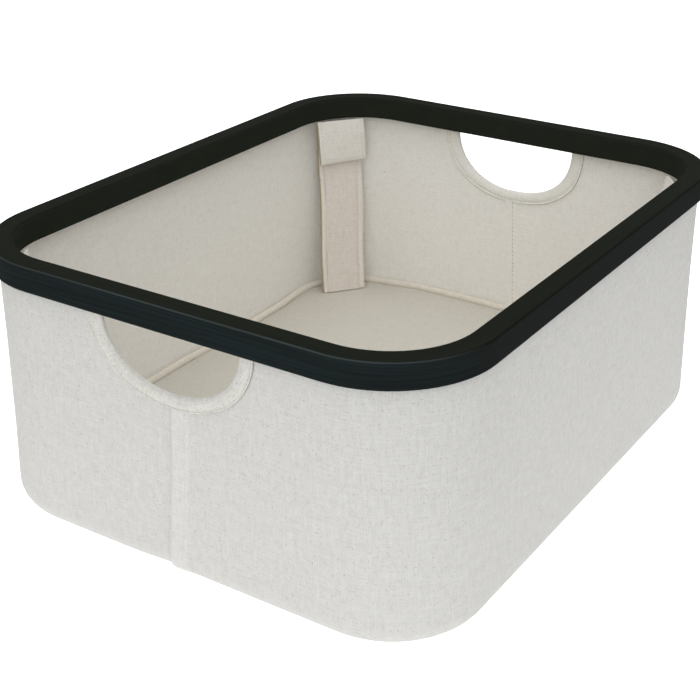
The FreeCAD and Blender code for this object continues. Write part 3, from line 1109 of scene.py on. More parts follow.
@dataclass
class Base:
    """Cover, wadding and corded seam inside the basket."""

    form: BagForm
    finishes: Materials
    cord: float = 5.5 * MM
    cord_points: int = 420
    cord_sides: int = 14
    cord_sits: float = 0.95
    pucker: float = 0.035
    pucker_run: float = 4.2 * MM * 1.7
    cover: float = 1.2 * MM
    edge_rise: float = 1.7 * MM
    board_top: float = 4.75 * MM
    pad_slope: float = 58 * MM
    around: int = 240

    def loop(self, count: int) -> tuple[Array, Array]:
        """Distances round the whole outline.

        Args:
            count: How many places.

        Returns:
            Distances along a half outline, and which half each is on.
        """
        last = self.form.stops[4]
        whole = np.arange(count) / count * 2 * last
        return np.where(whole < last, whole, 2 * last - whole), np.where(whole < last, -1, 1)

    def ring(self, depth: float, z: float, count: int) -> Array:
        """Points all round the bag at one depth and height.

        Args:
            depth: Distance inwards from the canvas's outer face.
            z: Height.
            count: How many points.

        Returns:
            The points in order.
        """
        along, side = self.loop(count)
        front, back = (self.form.outline(along, z, depth, half.value) for half in Half)
        return np.where((side < 0)[:, None], front, back)

    def rings(self, depth: float, z: float, count: int) -> tuple[Array, Array]:
        """Rings of points from the edge of the base to near its middle.

        Args:
            depth: Depth of the edge.
            z: Height of the edge.
            count: How many rings.

        Returns:
            The points and their places on the cloth map.
        """
        edge = self.ring(depth, z, self.around)
        close = [1.0, 0.992, 0.984, 0.976, 0.966, 0.954, 0.94]
        shares = np.concatenate([close, np.linspace(0.92, 0.04, count)])
        grid = edge[:, None, :] * np.stack([shares, shares, shares * 0 + 1], axis=-1)[None]
        uv = grid[..., :2] + BASE_START
        return grid, np.concatenate([uv, uv[:1]])

    def build(self) -> dict[str, Object]:
        """Make the base's soft pieces.

        Returns:
            The pieces by the node that each one stands for.
        """
        return {"base_cover": self.cover_sheet(), "base_pad": self.pad(),
                "base_piping": self.piping()}

    def cover_sheet(self) -> Object:
        """Make the cover, slightly uneven over the wadding.

        Returns:
            The cover.
        """
        grid, uv = self.rings(self.form.wall + 0.1 * MM, self.form.base_top, 34)
        grid[..., 2] = self.form.base_height(grid[..., 0], grid[..., 1])
        from_edge = np.linalg.norm(grid[..., :2] - grid[:, :1, :2], axis=-1)
        grid[..., 2] += self.edge_rise * (1 - smooth(from_edge, 3 * MM, 10 * MM))
        under = grid.copy()
        under[..., 2] -= self.cover
        return disc("base_cover_cloth", grid, under, uv, self.finishes["cover"])

    def pad(self) -> Object:
        """Make the wadding that fills the rounded bottom edge over the board.

        Returns:
            The wadding, which lies over the board and round its edge.
        """
        form = self.form
        low, edge, count = form.bottom_round, form.canvas + 0.3 * MM, 160
        radius = low - edge
        # Each place of the profile has a depth, a height or None for the cover's underside, and how
        # far its ring is drawn in to the middle.
        inside = ((0.05, 1.0), (self.pad_slope, 0.6), (self.pad_slope, 0.08))
        profile = [(depth, None, scale) for depth, scale in reversed(inside)]
        profile += [(edge + 2 * MM, None, 1.0), (edge + 0.4 * MM, 15.9 * MM, 1.0)]
        for turn in np.linspace(math.pi / 2, 0, 8):
            profile.append((low - radius * math.sin(turn), low - radius * math.cos(turn), 1.0))
        lip = low + 1.7 * MM
        profile += [(lip, edge, 1.0), (lip, self.board_top, 1.0)]
        profile += [(depth, self.board_top, scale) for depth, scale in inside]
        rings = []
        for depth, z, scale in profile:
            points = self.ring(depth, form.base_top if z is None else z, count)
            points[:, :2] *= scale
            if z is None:
                points[:, 2] = form.base_height(points[:, 0], points[:, 1]) - self.cover - 0.1 * MM
            rings.append(points)
        uv = np.zeros((len(rings), count + 1, 2))
        return swept_tube("base_wadding", np.stack(rings), uv, self.finishes["wadding"])

    def piping(self) -> Object:
        """Make the corded seam round the inside at the foot of the walls.

        Returns:
            The cord in its covering.
        """
        form, radius, count, around = self.form, self.cord / 2, self.cord_points, self.cord_sides
        along, side = self.loop(count)
        centre = self.ring(form.wall + 0.25 * MM + form.waist * 0.35 + radius, form.base_top, count)
        wander = Ripple(23, 0.35 * MM, 28 * MM, 90 * MM).at(along + 3 * side, 0 * along)
        wander = wander * smooth(np.minimum(along, form.stops[4] - along), 0, 0.02)
        centre[:, 2] = form.base_height(centre[:, 0], centre[:, 1]) + radius * self.cord_sits
        centre[:, 2] += wander * 0.8
        tangent = np.roll(centre, -1, axis=0) - np.roll(centre, 1, axis=0)
        tangent /= np.linalg.norm(tangent, axis=1, keepdims=True)
        outward = np.cross(tangent, [0, 0, 1.0])
        outward /= np.linalg.norm(outward, axis=1, keepdims=True)
        upward = np.cross(outward, tangent)
        turns = np.arange(around) / around * 2 * math.pi
        length = np.arange(count + 1) / count * 2 * form.stops[4]
        # The covering is twisted a little round the cord, so its puckers run on a slant.
        slant = length[:-1, None] / self.pucker_run * 2 * math.pi + 2 * turns[None]
        pucker = 1 + self.pucker * np.sin(slant)
        facing = (np.cos(turns)[None, :, None] * outward[:, None]
                  + np.sin(turns)[None, :, None] * upward[:, None])
        grid = centre[:, None] + radius * pucker[..., None] * facing
        uv = np.stack(np.meshgrid(length, np.arange(around + 1) * 1.2 * MM, indexing="ij"), axis=-1)
        return swept_tube("base_piping_cord", grid, uv, self.finishes["piping"], ring=True)


@dataclass
class WallTrim:
    """Felled seams at the middle of the short walls, and the tape round the handle holes."""

    form: BagForm
    finishes: Materials
    tape: float = 10 * MM
    tape_lift: float = 0.9 * MM
    pinch: float = 0.82
    outer_row: float = 8.6 * MM
    inner_row: float = 5.6 * MM
    seam_lift: float = 0.8 * MM
    outer_slant: float = 8.3 * MM
    inner_slant: float = 6.2 * MM
    inner_start: float = 3.7 * MM
    rim_gap: float = 0.4 * MM
    thread_sinks: tuple[float, float] = (0.42, 0.62)

    def foot(self, end: End) -> float:
        """Height of the tape's lowest point, where the seams end."""
        form = self.form
        return form.rim_under - form.hole_depth(end is End.RIGHT) - self.tape * self.pinch

    def row(self, outer: bool) -> float:
        """Distance of a seam's row of stitches from its lapped edge."""
        return self.outer_row if outer else self.inner_row

    def place(self, end: End, y: Array, z: Array, depth: Array) -> Array:
        """Points on a short wall from their place across it.

        Args:
            end: Left or right wall.
            y: Place across the basket, both halves.
            z: Height.
            depth: Distance inwards from the canvas's outer face.

        Returns:
            Points.
        """
        y, z, depth = np.broadcast_arrays(y, z, depth)
        near = np.abs(y)
        along = near if end is End.LEFT else self.form.stops[4] - near
        front, back = (self.form.at(along, z, depth, half.value) for half in Half)
        return np.where((y < 0)[..., None], front, back)

    def round_hole(self, end: End, turns: Array, grow: Array | float) -> tuple[Array, Array]:
        """Places round the edge of a handle hole.

        Args:
            end: Left or right wall.
            turns: Turns of the edge, from the back end of the hole's top to its front end.
            grow: Distance outside the hole.

        Returns:
            Places across the basket, and heights.
        """
        form = self.form
        power = form.fullness(end is End.RIGHT, turns > math.pi / 2)
        reach = np.sign(np.cos(turns)) * np.abs(np.cos(turns)) ** (2 / power)
        drop = np.clip(np.sin(turns), 0, 1) ** (2 / power)
        y = (form.handle_half + grow) * reach
        deep = form.hole_depth(end is End.RIGHT) - self.rim_gap + grow * self.pinch
        return y, form.rim_under - self.rim_gap - deep * drop

    def build(self) -> dict[str, Object]:
        """Make seams and bindings for both ends.

        Returns:
            The pieces by the node that each one stands for.
        """
        made: dict[str, Object] = {}
        for end in End:
            name = end.name.lower()
            made["canvas_seam_" + name] = self.seam(end, True)
            made["lining_seam_" + name] = self.seam(end, False)
            made["handle_binding_" + name] = self.binding(end)
        return made

    def seam_line(self, end: End, z: Array, outer: bool) -> Array:
        """Place across the wall of a seam's lapped edge.

        Args:
            end: Left or right wall.
            z: Height.
            outer: True for the canvas's seam, False for the lining's.

        Returns:
            Places across the basket.
        """
        share = 1 - z / (self.form.rim_under - self.form.handle_depth - self.tape)
        if outer:
            return -end.value * self.outer_slant * share + 0.25 * MM * np.sin(z / (13 * MM))
        slant = self.inner_start - self.inner_slant * share
        return end.value * slant + 0.2 * MM * np.sin(z / (17 * MM))

    def seam(self, end: End, outer: bool) -> Object:
        """Make one lapped seam: a crisp folded edge on one side, and none on the other.

        Args:
            end: Left or right wall.
            outer: True for the canvas's seam, False for the lining's.

        Returns:
            The seam.
        """
        form = self.form
        low = 1.2 * MM if outer else form.base_top + 6.4 * MM
        z = np.linspace(low, self.foot(end) + 1.2 * MM, 60)[:, None]
        row = self.row(outer)
        # The section stands up at the fold, dips at the row of stitches and runs out behind it.
        across = np.array([0.0, 0.02 * MM, 0.2 * MM, 0.6 * MM, row * 0.35, row * 0.7,
                           row - 0.5 * MM, row, row + 0.5 * MM, row + 1.2 * MM, row + 2.2 * MM,
                           row + 2.5 * MM])
        lift = np.array([0.02, 0.9, 1.15, 1.25, 1.15, 1.0, 0.8, 0.4, 0.6, 0.45, 0.12, 0.02])
        lift = lift * self.seam_lift
        if outer:
            toward, name, finish = end.value, "outer_seam_", self.finishes["felled"]
            depths = (form.turn_under(z) - lift, form.turn_under(z) + 0.25 * MM)
        else:
            toward, name, finish = -end.value, "inner_seam_", self.finishes["felled_lining"]
            depths = (form.wall + lift, form.wall - 0.25 * MM)
        y = self.seam_line(end, z, outer) + toward * across
        face, back = (self.place(end, y, z, depth).transpose(1, 0, 2) for depth in depths)
        uv = np.stack(np.broadcast_arrays(across + SEAM_START, z), axis=-1).transpose(1, 0, 2)
        return closed_shell(name + end.name.lower(), face, back, uv, finish, sharp=35)

    def binding(self, end: End) -> Object:
        """Make the tape folded over the edge of one handle hole.

        Args:
            end: Left or right wall.

        Returns:
            The binding.
        """
        form = self.form
        lift, wall, wide = self.tape_lift, form.wall, self.tape
        # Each point of the folded tape's section: how far outside the hole, and its depth.
        outer = [(wide, 0.05 * MM), (wide, -lift * 0.85), (wide - 0.25 * MM, -lift * 1.05),
                 (wide - 1.1 * MM, -lift), (wide - 1.7 * MM, -lift * 0.5),
                 (wide - 2.3 * MM, -lift * 0.95), (5 * MM, -lift * 1.1), (3.4 * MM, -lift * 0.95),
                 (2.0 * MM, -lift * 0.5), (0.8 * MM, 0.1 * MM), (0.2 * MM, 0.6 * MM)]
        nose = [(0.0, wall * 0.42), (0.0, wall * 0.58)]
        inner = [(grow, wall - depth) for grow, depth in reversed(outer)]
        seat = form.hole_margin - 0.2 * MM
        back = [(wide, wall - 0.1 * MM), (seat, wall - 0.1 * MM), (seat, 0.1 * MM),
                (wide, 0.1 * MM)]
        profile = np.array(outer + nose + inner + back)
        turns = np.linspace(0, math.pi, 97)[:, None]
        grow, depth = profile[None, :, 0], profile[None, :, 1]
        run = turns * 50 * MM
        wander = Ripple(31 + end.value, 0.3 * MM, 14 * MM, 70 * MM).at(run, 0 * run)
        y, z = self.round_hole(end, turns, grow + wander * smooth(grow, 3 * MM, 8 * MM))
        points = self.place(end, y, z, depth)
        girth = np.cumsum(np.hypot(np.diff(profile[:, 0]), np.diff(profile[:, 1])))
        length = np.concatenate([[0.0], girth, [girth[-1] + 0.5 * MM]])
        uv = np.stack(np.broadcast_arrays(length, turns * 46 * MM), axis=-1)
        tape = swept_tube("handle_tape_" + end.name.lower(), points, uv, self.finishes["binding"],
                          sharp=60)
        # The faces inside the basket get the lighter, warmer copy of the tape: painted bounce light.
        tape.data.materials.append(self.finishes["binding_inside"])
        middle = form.at(np.array(0.0), np.array(0.1), np.array(wall / 2), -1)[0]
        for face in tape.data.polygons:
            face.material_index = 1 if abs(face.center[0]) < abs(middle) else 0
        return tape

    def seam_rows(self, end: End, outer: bool) -> list[Array]:
        """Line of stitches down one felled seam.

        Args:
            end: Left or right wall.
            outer: True for the canvas's seam, False for the lining's.

        Returns:
            One row of points.
        """
        form, sunk = self.form, self.thread_sinks[0] * self.seam_lift
        z = np.linspace(6 * MM if outer else form.base_top + 8 * MM, self.foot(end) - 1 * MM, 50)
        toward = end.value if outer else -end.value
        y = self.seam_line(end, z, outer) + toward * self.row(outer)
        return [self.place(end, y, z, form.turn_under(z) - sunk if outer else form.wall + sunk)]

    def tape_rows(self, end: End) -> list[Array]:
        """Lines of stitches round both faces of the tape on one handle hole.

        Args:
            end: Left or right wall.

        Returns:
            Two rows of points.
        """
        sunk = self.tape_lift * self.thread_sinks[1]
        turns = np.linspace(0.03, math.pi - 0.03, 100)
        y, z = self.round_hole(end, turns, self.tape - 1.7 * MM)
        return [self.place(end, y, z, depth) for depth in (-sunk, self.form.wall + sunk)]


@dataclass
class CornerFittings:
    """One corner's stay in its sleeve and the flap that closes over it."""

    corner: Corner
    finishes: Materials
    angle: float = 52.0
    rim_half: tuple[float, float] = (RIM_LENGTH / 2, RIM_WIDTH / 2)
    rim_corner: float = RIM_CORNER
    lean: float = math.radians(4.0643)
    stay_reach: float = 39 * MM
    stay_height: float = 18.8 * MM
    stay_length: float = 132.73 * MM
    flap_reach: float = 45.386 * MM
    flap_height: float = 153.9 * MM
    sleeve_half: float = 17.6 * MM
    hem: float = 4.6 * MM
    flap_half: float = 18.7 * MM
    flap_length: float = 32 * MM
    flap_lift: float = 0.9 * MM
    flap_belly: float = 0.9 * MM
    flap_lean: float = 0.5 * MM
    flap_curl: float = 1.5 * MM
    wander: Ripple = Ripple(53, 0.3 * MM, 25 * MM, 100 * MM)
    # Seat of a face of the sleeve, its fullness, its stitched groove, and its share of the waves.
    front_face: tuple[float, float, float, float] = (0.15 * MM, -1.15 * MM, 0.75 * MM, 1.0)
    back_face: tuple[float, float, float, float] = (2.3 * MM, 0.9 * MM, -0.3 * MM, 0.5)

    @property
    def aside(self) -> float:
        """How far the back right corner's stay and flap sit to their right."""
        return 0.7 * MM if self.corner is Corner.BACK_RIGHT else 0.0

    @property
    def hem_line(self) -> float:
        """Distance of the sleeve's rows of stitches from its middle."""
        return self.sleeve_half - self.hem

    def place(self, reach: float, height: float, across: Array, through: Array, up: Array) -> Array:
        """Points in the leaning frame of the stay or the flap.

        Args:
            reach: Distance of the hinge from the corner's centre.
            height: Height of the hinge.
            across: Places along the hinge.
            through: Places out through the thickness.
            up: Places up the length.

        Returns:
            Points of the scene.
        """
        sx, sy = self.corner.value
        turn = math.radians(self.angle)
        out = np.array([sx * math.cos(turn), sy * math.sin(turn), 0.0])
        side = np.array([out[1], -out[0], 0.0])
        rise = np.array([0, 0, math.cos(self.lean)]) + out * math.sin(self.lean)
        deep = out * math.cos(self.lean) - np.array([0, 0, math.sin(self.lean)])
        centre = np.array([sx * (self.rim_half[0] - self.rim_corner),
                           sy * (self.rim_half[1] - self.rim_corner), 0])
        origin = centre + out * reach + np.array([0, 0, height])
        across, through, up = np.broadcast_arrays(across, through, up)
        return origin + across[..., None] * side + through[..., None] * deep + up[..., None] * rise

    def on_stay(self, across: Array, through: Array, up: Array) -> Array:
        """Points of the stay, up from its foot."""
        return self.place(self.stay_reach, self.stay_height, across, through, up)

    def on_flap(self, across: Array, through: Array, down: Array) -> Array:
        """Points of the flap, down from its fold, whose lower edge swings a little to its right."""
        swung = across + self.aside * 0.4 + 1.0 * MM * down / self.flap_length
        return self.place(self.flap_reach, self.flap_height + self.flap_lift, swung, through, -down)

    def sleeve_depth(self, across: Array, up: Array, front: bool) -> Array:
        """Depth of the sleeve's front or back, full over the batten and thin at the stitched hems.

        Args:
            across: Places along the hinge, from the sleeve's middle.
            up: Places up the length.
            front: True for the face towards the inside of the basket.

        Returns:
            Places through the thickness.
        """
        full = 1 - 0.45 * smooth(np.abs(across), self.hem_line - 1.6 * MM, self.hem_line)
        groove = np.exp(-((np.abs(across) - self.hem_line) / (0.6 * MM)) ** 2)
        seed = 41 + self.corner.value[0] + 3 * self.corner.value[1]
        wave = Ripple(seed, 0.28 * MM, 22 * MM, 90 * MM).at(across * 1.6, up)
        seat, fullness, dip, share = self.front_face if front else self.back_face
        return seat + fullness * full + dip * groove + share * wave

    def sleeve(self) -> Object:
        """Make the sewn sleeve, which bows a little where it stands on the base.

        Returns:
            The sleeve.
        """
        half = self.sleeve_half
        across = half * np.sin(np.linspace(-math.pi / 2, math.pi / 2, 27))[None, :]
        up = np.linspace(-1.0 * MM, self.stay_length, 56)[:, None]
        edge = np.sqrt(np.clip(1 - (np.abs(across) / half) ** 18, 0, 1))
        middle = 1.2 * MM
        foot = np.exp(-np.clip(up, 0, None) / (7 * MM))
        shown = across + self.wander.at(up, 0 * up) + self.aside
        bow = -0.7 * MM * foot * (across / half) ** 2
        faces = []
        for front in (True, False):
            depth = middle + (self.sleeve_depth(across, up, front) - middle) * edge
            faces.append(np.stack(np.broadcast_arrays(shown, depth + bow, up), axis=-1))
        loop = np.concatenate([faces[0], faces[1][:, ::-1][:, 1:-1]], axis=1)
        grid = self.on_stay(loop[..., 0], loop[..., 1], loop[..., 2])
        flat = across[0] + half
        girth = np.concatenate([flat, 4 * half - flat[::-1][1:]])
        uv = np.stack(np.broadcast_arrays(girth[None], up + SLEEVE_START), axis=-1)
        return swept_tube("stay_cloth_" + self.corner.name.lower(), grid, uv,
                          self.finishes["sleeve"])

    def flap_bow(self, across: Array, down: Array) -> Array:
        """How far the hanging flap stands forward of its plain plane.

        Args:
            across: Places along the fold.
            down: Places down from the fold.

        Returns:
            Places through the thickness, negative towards the inside of the basket.
        """
        share = down / self.flap_length
        seed = 61 + 2 * self.corner.value[0] + self.corner.value[1]
        ripple = Ripple(seed, 0.22 * MM, 20 * MM, 60 * MM)
        belly = self.flap_belly * np.sin(math.pi * np.clip(share, 0, 1)) + self.flap_lean * share
        lifted = self.flap_curl * smooth(-across, 0.004, 0.019) * smooth(share, 0.15, 1.0)
        return -(belly + lifted) + ripple.at(across, down) * smooth(share, 0.05, 0.4)

    def flap(self) -> Object:
        """Make the doubled flap that hangs from its fold under the rim.

        Returns:
            The flap.
        """
        half = self.flap_half
        across = half * np.sin(np.linspace(-math.pi / 2, math.pi / 2, 25))[:, None]
        share = np.linspace(0, 1, 26)[None, :]
        corner = 1 - 0.015 * smooth(np.abs(across), half * 0.93, half)
        length = (self.flap_length - 0.9 * MM * across / half) * corner
        down = share * length
        side_edge = np.sqrt(np.clip(1 - (np.abs(across) / half) ** 22, 0.02, 1))
        low_edge = np.sqrt(np.clip(1 - share ** 26, 0.02, 1))
        hem = 1 + 0.12 * smooth(down, self.flap_length - 5 * MM, self.flap_length - 3.6 * MM)
        thick = 0.9 * MM * side_edge * low_edge
        seat = self.flap_bow(across, down)
        front, back = (self.on_flap(across, seat + sign * thick * hem, down) for sign in (-1, 1))
        uv = np.stack(np.broadcast_arrays(across + FLAP_START, down), axis=-1)
        return closed_shell("flap_cloth_" + self.corner.name.lower(), front, back, uv,
                            self.finishes["flap"])

    def sleeve_rows(self) -> list[Array]:
        """Lines of stitches down both hems, front and back.

        Returns:
            Rows of points.
        """
        lines = []
        up = np.linspace(1.5 * MM, self.stay_length - 1 * MM, 60)
        wander = self.wander.at(up, 0 * up)
        for sign in (-1, 1):
            across = sign * self.hem_line + 0 * up
            for front in (True, False):
                depth = self.sleeve_depth(across, up, front) + (-0.05 * MM if front else 0.05 * MM)
                lines.append(self.on_stay(across + wander + self.aside, depth, up))
        return lines

    def flap_rows(self) -> list[Array]:
        """Line of stitches round the flap's free edges.

        Returns:
            Rows of points.
        """
        side, high, low, count = self.flap_half - 3.2 * MM, 1 * MM, self.flap_length - 3.6 * MM, 16
        down = np.concatenate([np.linspace(high, low, count), np.full(count, low),
                               np.linspace(low, high, count)])
        across = np.concatenate([np.full(count, -side), np.linspace(-side, side, count),
                                 np.full(count, side)])
        return [self.on_flap(across, self.flap_bow(across, down) - 1.05 * MM, down)]


@dataclass
class Stitching:
    """Lockstitches in a Geometry Nodes tree: one small thread lozenge on each step of a line."""

    pitch: float = 3.1 * MM
    length: float = 2.1 * MM
    thickness: float = 0.45 * MM
    wander: float = 0.12 * MM
    seed: int = 4
    tree: Tree = field(init=False)

    def __post_init__(self) -> None:
        """Build the tree once, with named inputs."""
        self.tree = bpy.data.node_groups.new("lockstitches", "GeometryNodeTree")
        tree = self.tree
        sockets = (("Lines", "Geometry"), ("Pitch", "Float"), ("Length", "Float"),
                   ("Thickness", "Float"), ("Wander", "Float"), ("Seed", "Int"),
                   ("Thread", "Material"))
        for name, kind in sockets:
            tree.interface.new_socket(name, in_out="INPUT", socket_type="NodeSocket" + kind)
        tree.interface.new_socket("Stitches", in_out="OUTPUT", socket_type="NodeSocketGeometry")
        given = add(tree, "NodeGroupInput").outputs
        curve = add(tree, "GeometryNodeMeshToCurve", {}, {0: given["Lines"]})
        steps = add(tree, "GeometryNodeResampleCurve", {"mode": "LENGTH"}, {
            "Curve": curve, "Length": given["Pitch"]})
        back = add(tree, "ShaderNodeMath", {"operation": "MULTIPLY"}, {0: given["Wander"], 1: -1.0})
        low = add(tree, "ShaderNodeCombineXYZ", {}, dict.fromkeys(range(3), back))
        high = add(tree, "ShaderNodeCombineXYZ", {}, dict.fromkeys(range(3), given["Wander"]))
        chance = add(tree, "FunctionNodeRandomValue", {"data_type": "FLOAT_VECTOR"}, {
            0: low, 1: high, "Seed": given["Seed"]})
        moved = add(tree, "GeometryNodeSetPosition", {}, {"Geometry": steps, "Offset": chance})
        ball = add(tree, "GeometryNodeMeshUVSphere", {}, {"Segments": 6, "Rings": 4, "Radius": 0.5})
        size = add(tree, "ShaderNodeCombineXYZ", {}, {
            0: given["Length"], 1: given["Thickness"], 2: given["Thickness"]})
        lozenge = add(tree, "GeometryNodeTransform", {}, {"Geometry": ball, "Scale": size})
        tangent = add(tree, "GeometryNodeInputTangent")
        facing = add(tree, "FunctionNodeAlignRotationToVector", {"axis": "X"}, {"Vector": tangent})
        placed = add(tree, "GeometryNodeInstanceOnPoints", {}, {
            "Points": moved, "Instance": lozenge, "Rotation": facing})
        real = add(tree, "GeometryNodeRealizeInstances", {}, {0: placed})
        dressed = add(tree, "GeometryNodeSetMaterial", {}, {
            "Geometry": real, "Material": given["Thread"]})
        add(tree, "NodeGroupOutput", {}, {0: dressed})

    def sew(self, name: str, lines: list[Array], thread: Material) -> Object:
        """Turn lines of points into stitches.

        Args:
            name: Name of the piece.
            lines: Rows of points in metres.
            thread: Finish of the thread.

        Returns:
            The stitches as a plain mesh.
        """
        mesh = bpy.data.meshes.new(name + "_lines")
        verts: list[tuple[float, float, float]] = []
        edges: list[tuple[int, int]] = []
        for line in lines:
            first = len(verts)
            verts += [tuple(p) for p in line]
            edges += [(first + i, first + i + 1) for i in range(len(line) - 1)]
        mesh.from_pydata(verts, edges, [])
        guide = show(name + "_lines", mesh)
        modifier = guide.modifiers.new("lockstitches", "NODES")
        modifier.node_group = self.tree
        values = {"Pitch": self.pitch, "Length": self.length, "Thickness": self.thickness,
                  "Wander": self.wander, "Seed": self.seed, "Thread": thread}
        for item in self.tree.interface.items_tree:
            if item.in_out == "INPUT" and item.name in values:
                modifier[item.identifier] = values[item.name]
        bpy.context.view_layer.update()
        evaluated = guide.evaluated_get(bpy.context.evaluated_depsgraph_get())
        result = bpy.data.meshes.new_from_object(evaluated)
        result.name = name
        guide.modifiers.remove(modifier)
        bpy.data.objects.remove(guide)
        result.polygons.foreach_set("use_smooth", [True] * len(result.polygons))
        return show(name, result)


@dataclass
class Studio:
    """Pale floor, soft light and the photograph's point of view."""

    eye: tuple[float, float, float] = (-0.68268, -0.42933, 0.4581)
    target: tuple[float, float, float] = (-0.06262, -0.02432, 0.0961)
    lens: float = 71.1
    shift: tuple[float, float] = (0.0014, 0.0014)
    lit_point: tuple[float, float, float] = (0, 0, 0.08)
    floor_half: float = 6.0
    floor_z: float = -0.3 * MM

    def build(self) -> None:
        """Make floor, world, lamps and camera."""
        self.floor()
        self.world()
        self.lamp("key_left", (-1.7, -0.5, 1.0), 1.4, 5.9)
        self.lamp("fill_front", (-0.8, -1.0, 0.8), 0.8, 0.35, (0.6, 0.8, 1.0))
        self.lamp("top", (-0.2, -0.1, 2.2), 1.8, 10.2)
        self.camera()

    def white_rays(self, tree: Tree, mirrored: float) -> Node:
        """Find the rays that see the ground as white: the camera's, and those through glass.

        Args:
            tree: Tree of the floor or the world.
            mirrored: Share of white for reflected rays.

        Returns:
            The share of white, from 0 to 1.
        """
        ray = add(tree, "ShaderNodeLightPath")
        either = add(tree, "ShaderNodeMath", {"operation": "MAXIMUM"}, {
            0: ray.outputs["Is Camera Ray"], 1: ray.outputs["Is Transmission Ray"]})
        dim = add(tree, "ShaderNodeMath", {"operation": "MULTIPLY"}, {
            0: ray.outputs["Is Glossy Ray"], 1: mirrored})
        return add(tree, "ShaderNodeMath", {"operation": "MAXIMUM"}, {0: either, 1: dim})

    def floor(self) -> None:
        """Make the floor, white to the camera except for the object's faint shadow."""
        mesh = bpy.data.meshes.new("floor")
        turns = ((-1, -1), (1, -1), (1, 1), (-1, 1))
        half = self.floor_half
        mesh.from_pydata([(x * half, y * half, self.floor_z) for x, y in turns],
                         [], [(0, 1, 2, 3)])
        obj = show("floor", mesh)
        material, tree = new_material("white_paper_floor")
        paper = add(tree, "ShaderNodeBsdfDiffuse", {}, {"Color": linear("F6F6F5")})
        # The basket stands on a small light table: its glow fades out half a metre from the middle.
        place = add(tree, "ShaderNodeTexCoord").outputs["Object"]
        reach = add(tree, "ShaderNodeVectorMath", {"operation": "DISTANCE"}, {
            0: place, 1: (-0.13, -0.09, 0.0)})
        table = add(tree, "ShaderNodeMapRange", {"interpolation_type": "SMOOTHSTEP"}, {
            "Value": reach, "From Min": 0.62, "From Max": 0.26, "To Min": 0.0, "To Max": 0.5})
        strength = add(tree, "ShaderNodeMapRange", {}, {
            "Value": self.white_rays(tree, 0.15), "To Min": table, "To Max": 0.7})
        glow = add(tree, "ShaderNodeEmission", {}, {"Color": (1, 1, 1, 1), "Strength": strength})
        lit = add(tree, "ShaderNodeAddShader", {}, {0: paper, 1: glow})
        add(tree, "ShaderNodeOutputMaterial", {}, {"Surface": lit})
        mesh.materials.append(material)

    def world(self) -> None:
        """Make an even pale surround, pure white where the camera sees it."""
        world = bpy.data.worlds.new("white_surround")
        bpy.context.scene.world = world
        world.use_nodes = True
        tree = world.node_tree
        tree.nodes.clear()
        # To the basket the surround is a dome, brighter overhead than at the horizon.
        split = add(tree, "ShaderNodeSeparateXYZ", {}, {
            0: add(tree, "ShaderNodeTexCoord").outputs["Generated"]})
        dome = add(tree, "ShaderNodeMapRange", {}, {
            "Value": split.outputs[2], "To Min": 0.12, "To Max": 1.1})
        strength = add(tree, "ShaderNodeMapRange", {}, {
            "Value": self.white_rays(tree, 1.0), "To Min": dome, "To Max": 1.0})
        light = add(tree, "ShaderNodeBackground", {}, {"Color": (1, 1, 1, 1), "Strength": strength})
        add(tree, "ShaderNodeOutputWorld", {}, {"Surface": light})

    def lamp(self, name: str, place: tuple[float, float, float], size: float, power: float,
             colour: tuple[float, float, float] = (1.0, 1.0, 1.0)) -> None:
        """Add one soft lamp that faces the basket.

        Args:
            name: Name of the lamp.
            place: Where it hangs.
            size: Side of its square, in metres.
            power: Its power, in watts.
            colour: Linear colour of its light.
        """
        data = bpy.data.lights.new(name, "AREA")
        data.shape = "SQUARE"
        data.size = size
        data.energy = power
        data.color = colour
        self.aim(show(name, data), place, self.lit_point)

    def camera(self) -> None:
        """Add the camera at the photograph's place."""
        data = bpy.data.cameras.new("camera")
        data.lens = self.lens
        data.sensor_width = 36.0
        data.shift_x, data.shift_y = self.shift
        data.clip_start = 0.01
        obj = show("camera", data)
        self.aim(obj, self.eye, self.target)
        bpy.context.scene.camera = obj

    def aim(self, obj: Object, place: tuple[float, float, float],
            target: tuple[float, float, float]) -> None:
        """Put a lamp or camera in its place and turn it to a point."""
        obj.location = place
        obj.rotation_euler = (Vector(target) - Vector(place)).to_track_quat("-Z", "Y").to_euler()


def dress(node: Object, material: Material) -> None:
    """Give a rigid piece of the frame its finish.

    Args:
        node: The piece.
        material: Its finish.
    """
    if node.data.materials:
        for number in range(len(node.data.materials)):
            node.data.materials[number] = material
    else:
        node.data.materials.append(material)


def report(piece: Object) -> None:
    """Log one finished piece."""
    LOG.info("%s: %d faces", piece.name, len(piece.data.polygons))


def hang(piece: Object, slot: str, *nodes: str) -> None:
    """Hide the nodes a wall piece stands for, bake its place into its mesh and log it.

    Args:
        piece: The piece.
        slot: Not used.
        nodes: Nodes of the frame that it stands for.
    """
    if nodes:
        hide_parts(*nodes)
    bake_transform(piece)
    report(piece)


def carry(piece: Object, body: str, slot: str, *nodes: str) -> None:
    """Let a piece ride on one body.

    Args:
        piece: The piece.
        body: Body that carries it.
        slot: Not used.
        nodes: Nodes of the frame that it stands for.
    """
    if nodes:
        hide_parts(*nodes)
    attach(piece, body)
    report(piece)


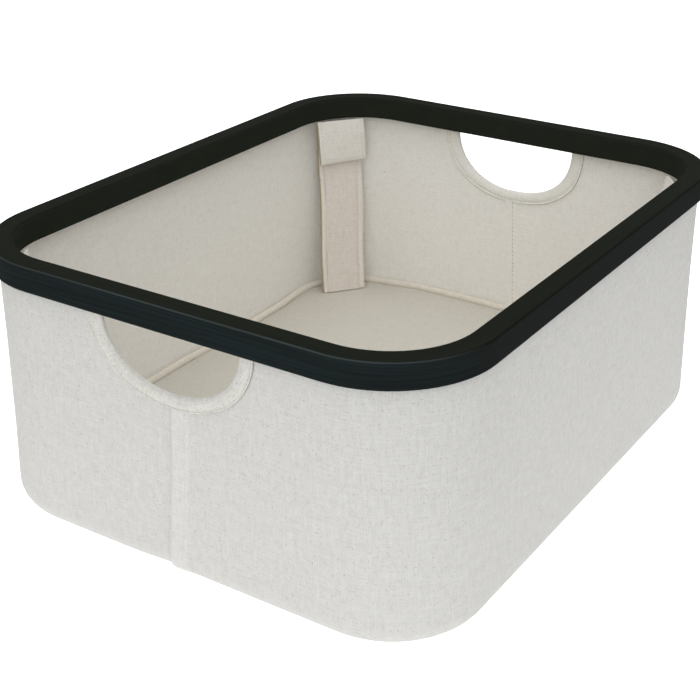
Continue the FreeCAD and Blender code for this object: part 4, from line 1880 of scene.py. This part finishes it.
def build_bag(form: BagForm, finishes: Materials, stitching: Stitching) -> None:
    """Make walls, trim and base, and hide the frame's nodes that they stand for.

    Args:
        form: Shape of the bag.
        finishes: Every finish.
        stitching: Maker of the stitches.
    """
    walls = Walls(form, finishes).build()
    for node, piece in walls.items():
        if node == "base_canvas":
            carry(piece, "bag", "canvas", node)
            continue
        kind = node.split("_")[0]
        hang(piece, kind, node)
    trim = WallTrim(form, finishes)
    for node, piece in trim.build().items():
        slot = {"canvas": "canvas", "lining": "lining", "handle": "binding"}[node.split("_")[0]]
        hang(piece, slot, node)
    for end in End:
        seams = (("outer", "canvas", trim.seam_rows(end, True), "thread"),
                 ("inner", "lining", trim.seam_rows(end, False), "seam_thread"),
                 ("tape", "binding", trim.tape_rows(end), "thread"))
        for part, slot, rows, thread in seams:
            name = part + "_stitches_" + end.name.lower()
            hang(stitching.sew(name, rows, finishes[thread]), slot)
    base = Base(form, finishes).build()
    carry(base["base_cover"], "bag", "lining", "base_cover")
    carry(base["base_piping"], "bag", "piping", "base_piping")
    carry(base["base_pad"], "bag", "pad", "base_pad")


def build_corner(corner: Corner, finishes: Materials, stitching: Stitching) -> None:
    """Make one corner's stay and flap.

    Args:
        corner: Which corner.
        finishes: Every finish.
        stitching: Maker of the stitches.
    """
    name = corner.name.lower()
    fittings = CornerFittings(corner, finishes)
    carry(fittings.sleeve(), "stay_" + name, "sleeve", "stay_sleeve_" + name)
    hems = stitching.sew("stay_stitches_" + name, fittings.sleeve_rows(), finishes["thread"])
    carry(hems, "stay_" + name, "sleeve")
    flap = fittings.flap()
    sewn = stitching.sew("flap_stitches_" + name, fittings.flap_rows(), finishes["thread"])
    carry(flap, "flap_" + name, "flap", "corner_flap_" + name)
    carry(sewn, "flap_" + name, "flap")


def main() -> None:
    """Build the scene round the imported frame."""
    logging.basicConfig(level=logging.INFO, format="%(name)s %(message)s")
    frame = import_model()
    bpy.context.scene.view_settings.view_transform = "Standard"
    finishes = build_finishes()
    stitching = Stitching()
    build_bag(BagForm(), finishes, stitching)
    for corner in Corner:
        build_corner(corner, finishes, stitching)
    dress(frame["nodes"]["rim_hoop"], finishes["wood"])
    dress(frame["nodes"]["base_board"], finishes["board"])
    hidden = (("stay_batten_", "batten"), ("loop_tape_", "loops"), ("hook_tape_", "hooks"))
    for corner in Corner:
        for node, part in hidden:
            dress(frame["nodes"][node + corner.name.lower()], finishes[part])
    Studio().build()


if __name__ == "__main__":
    main()
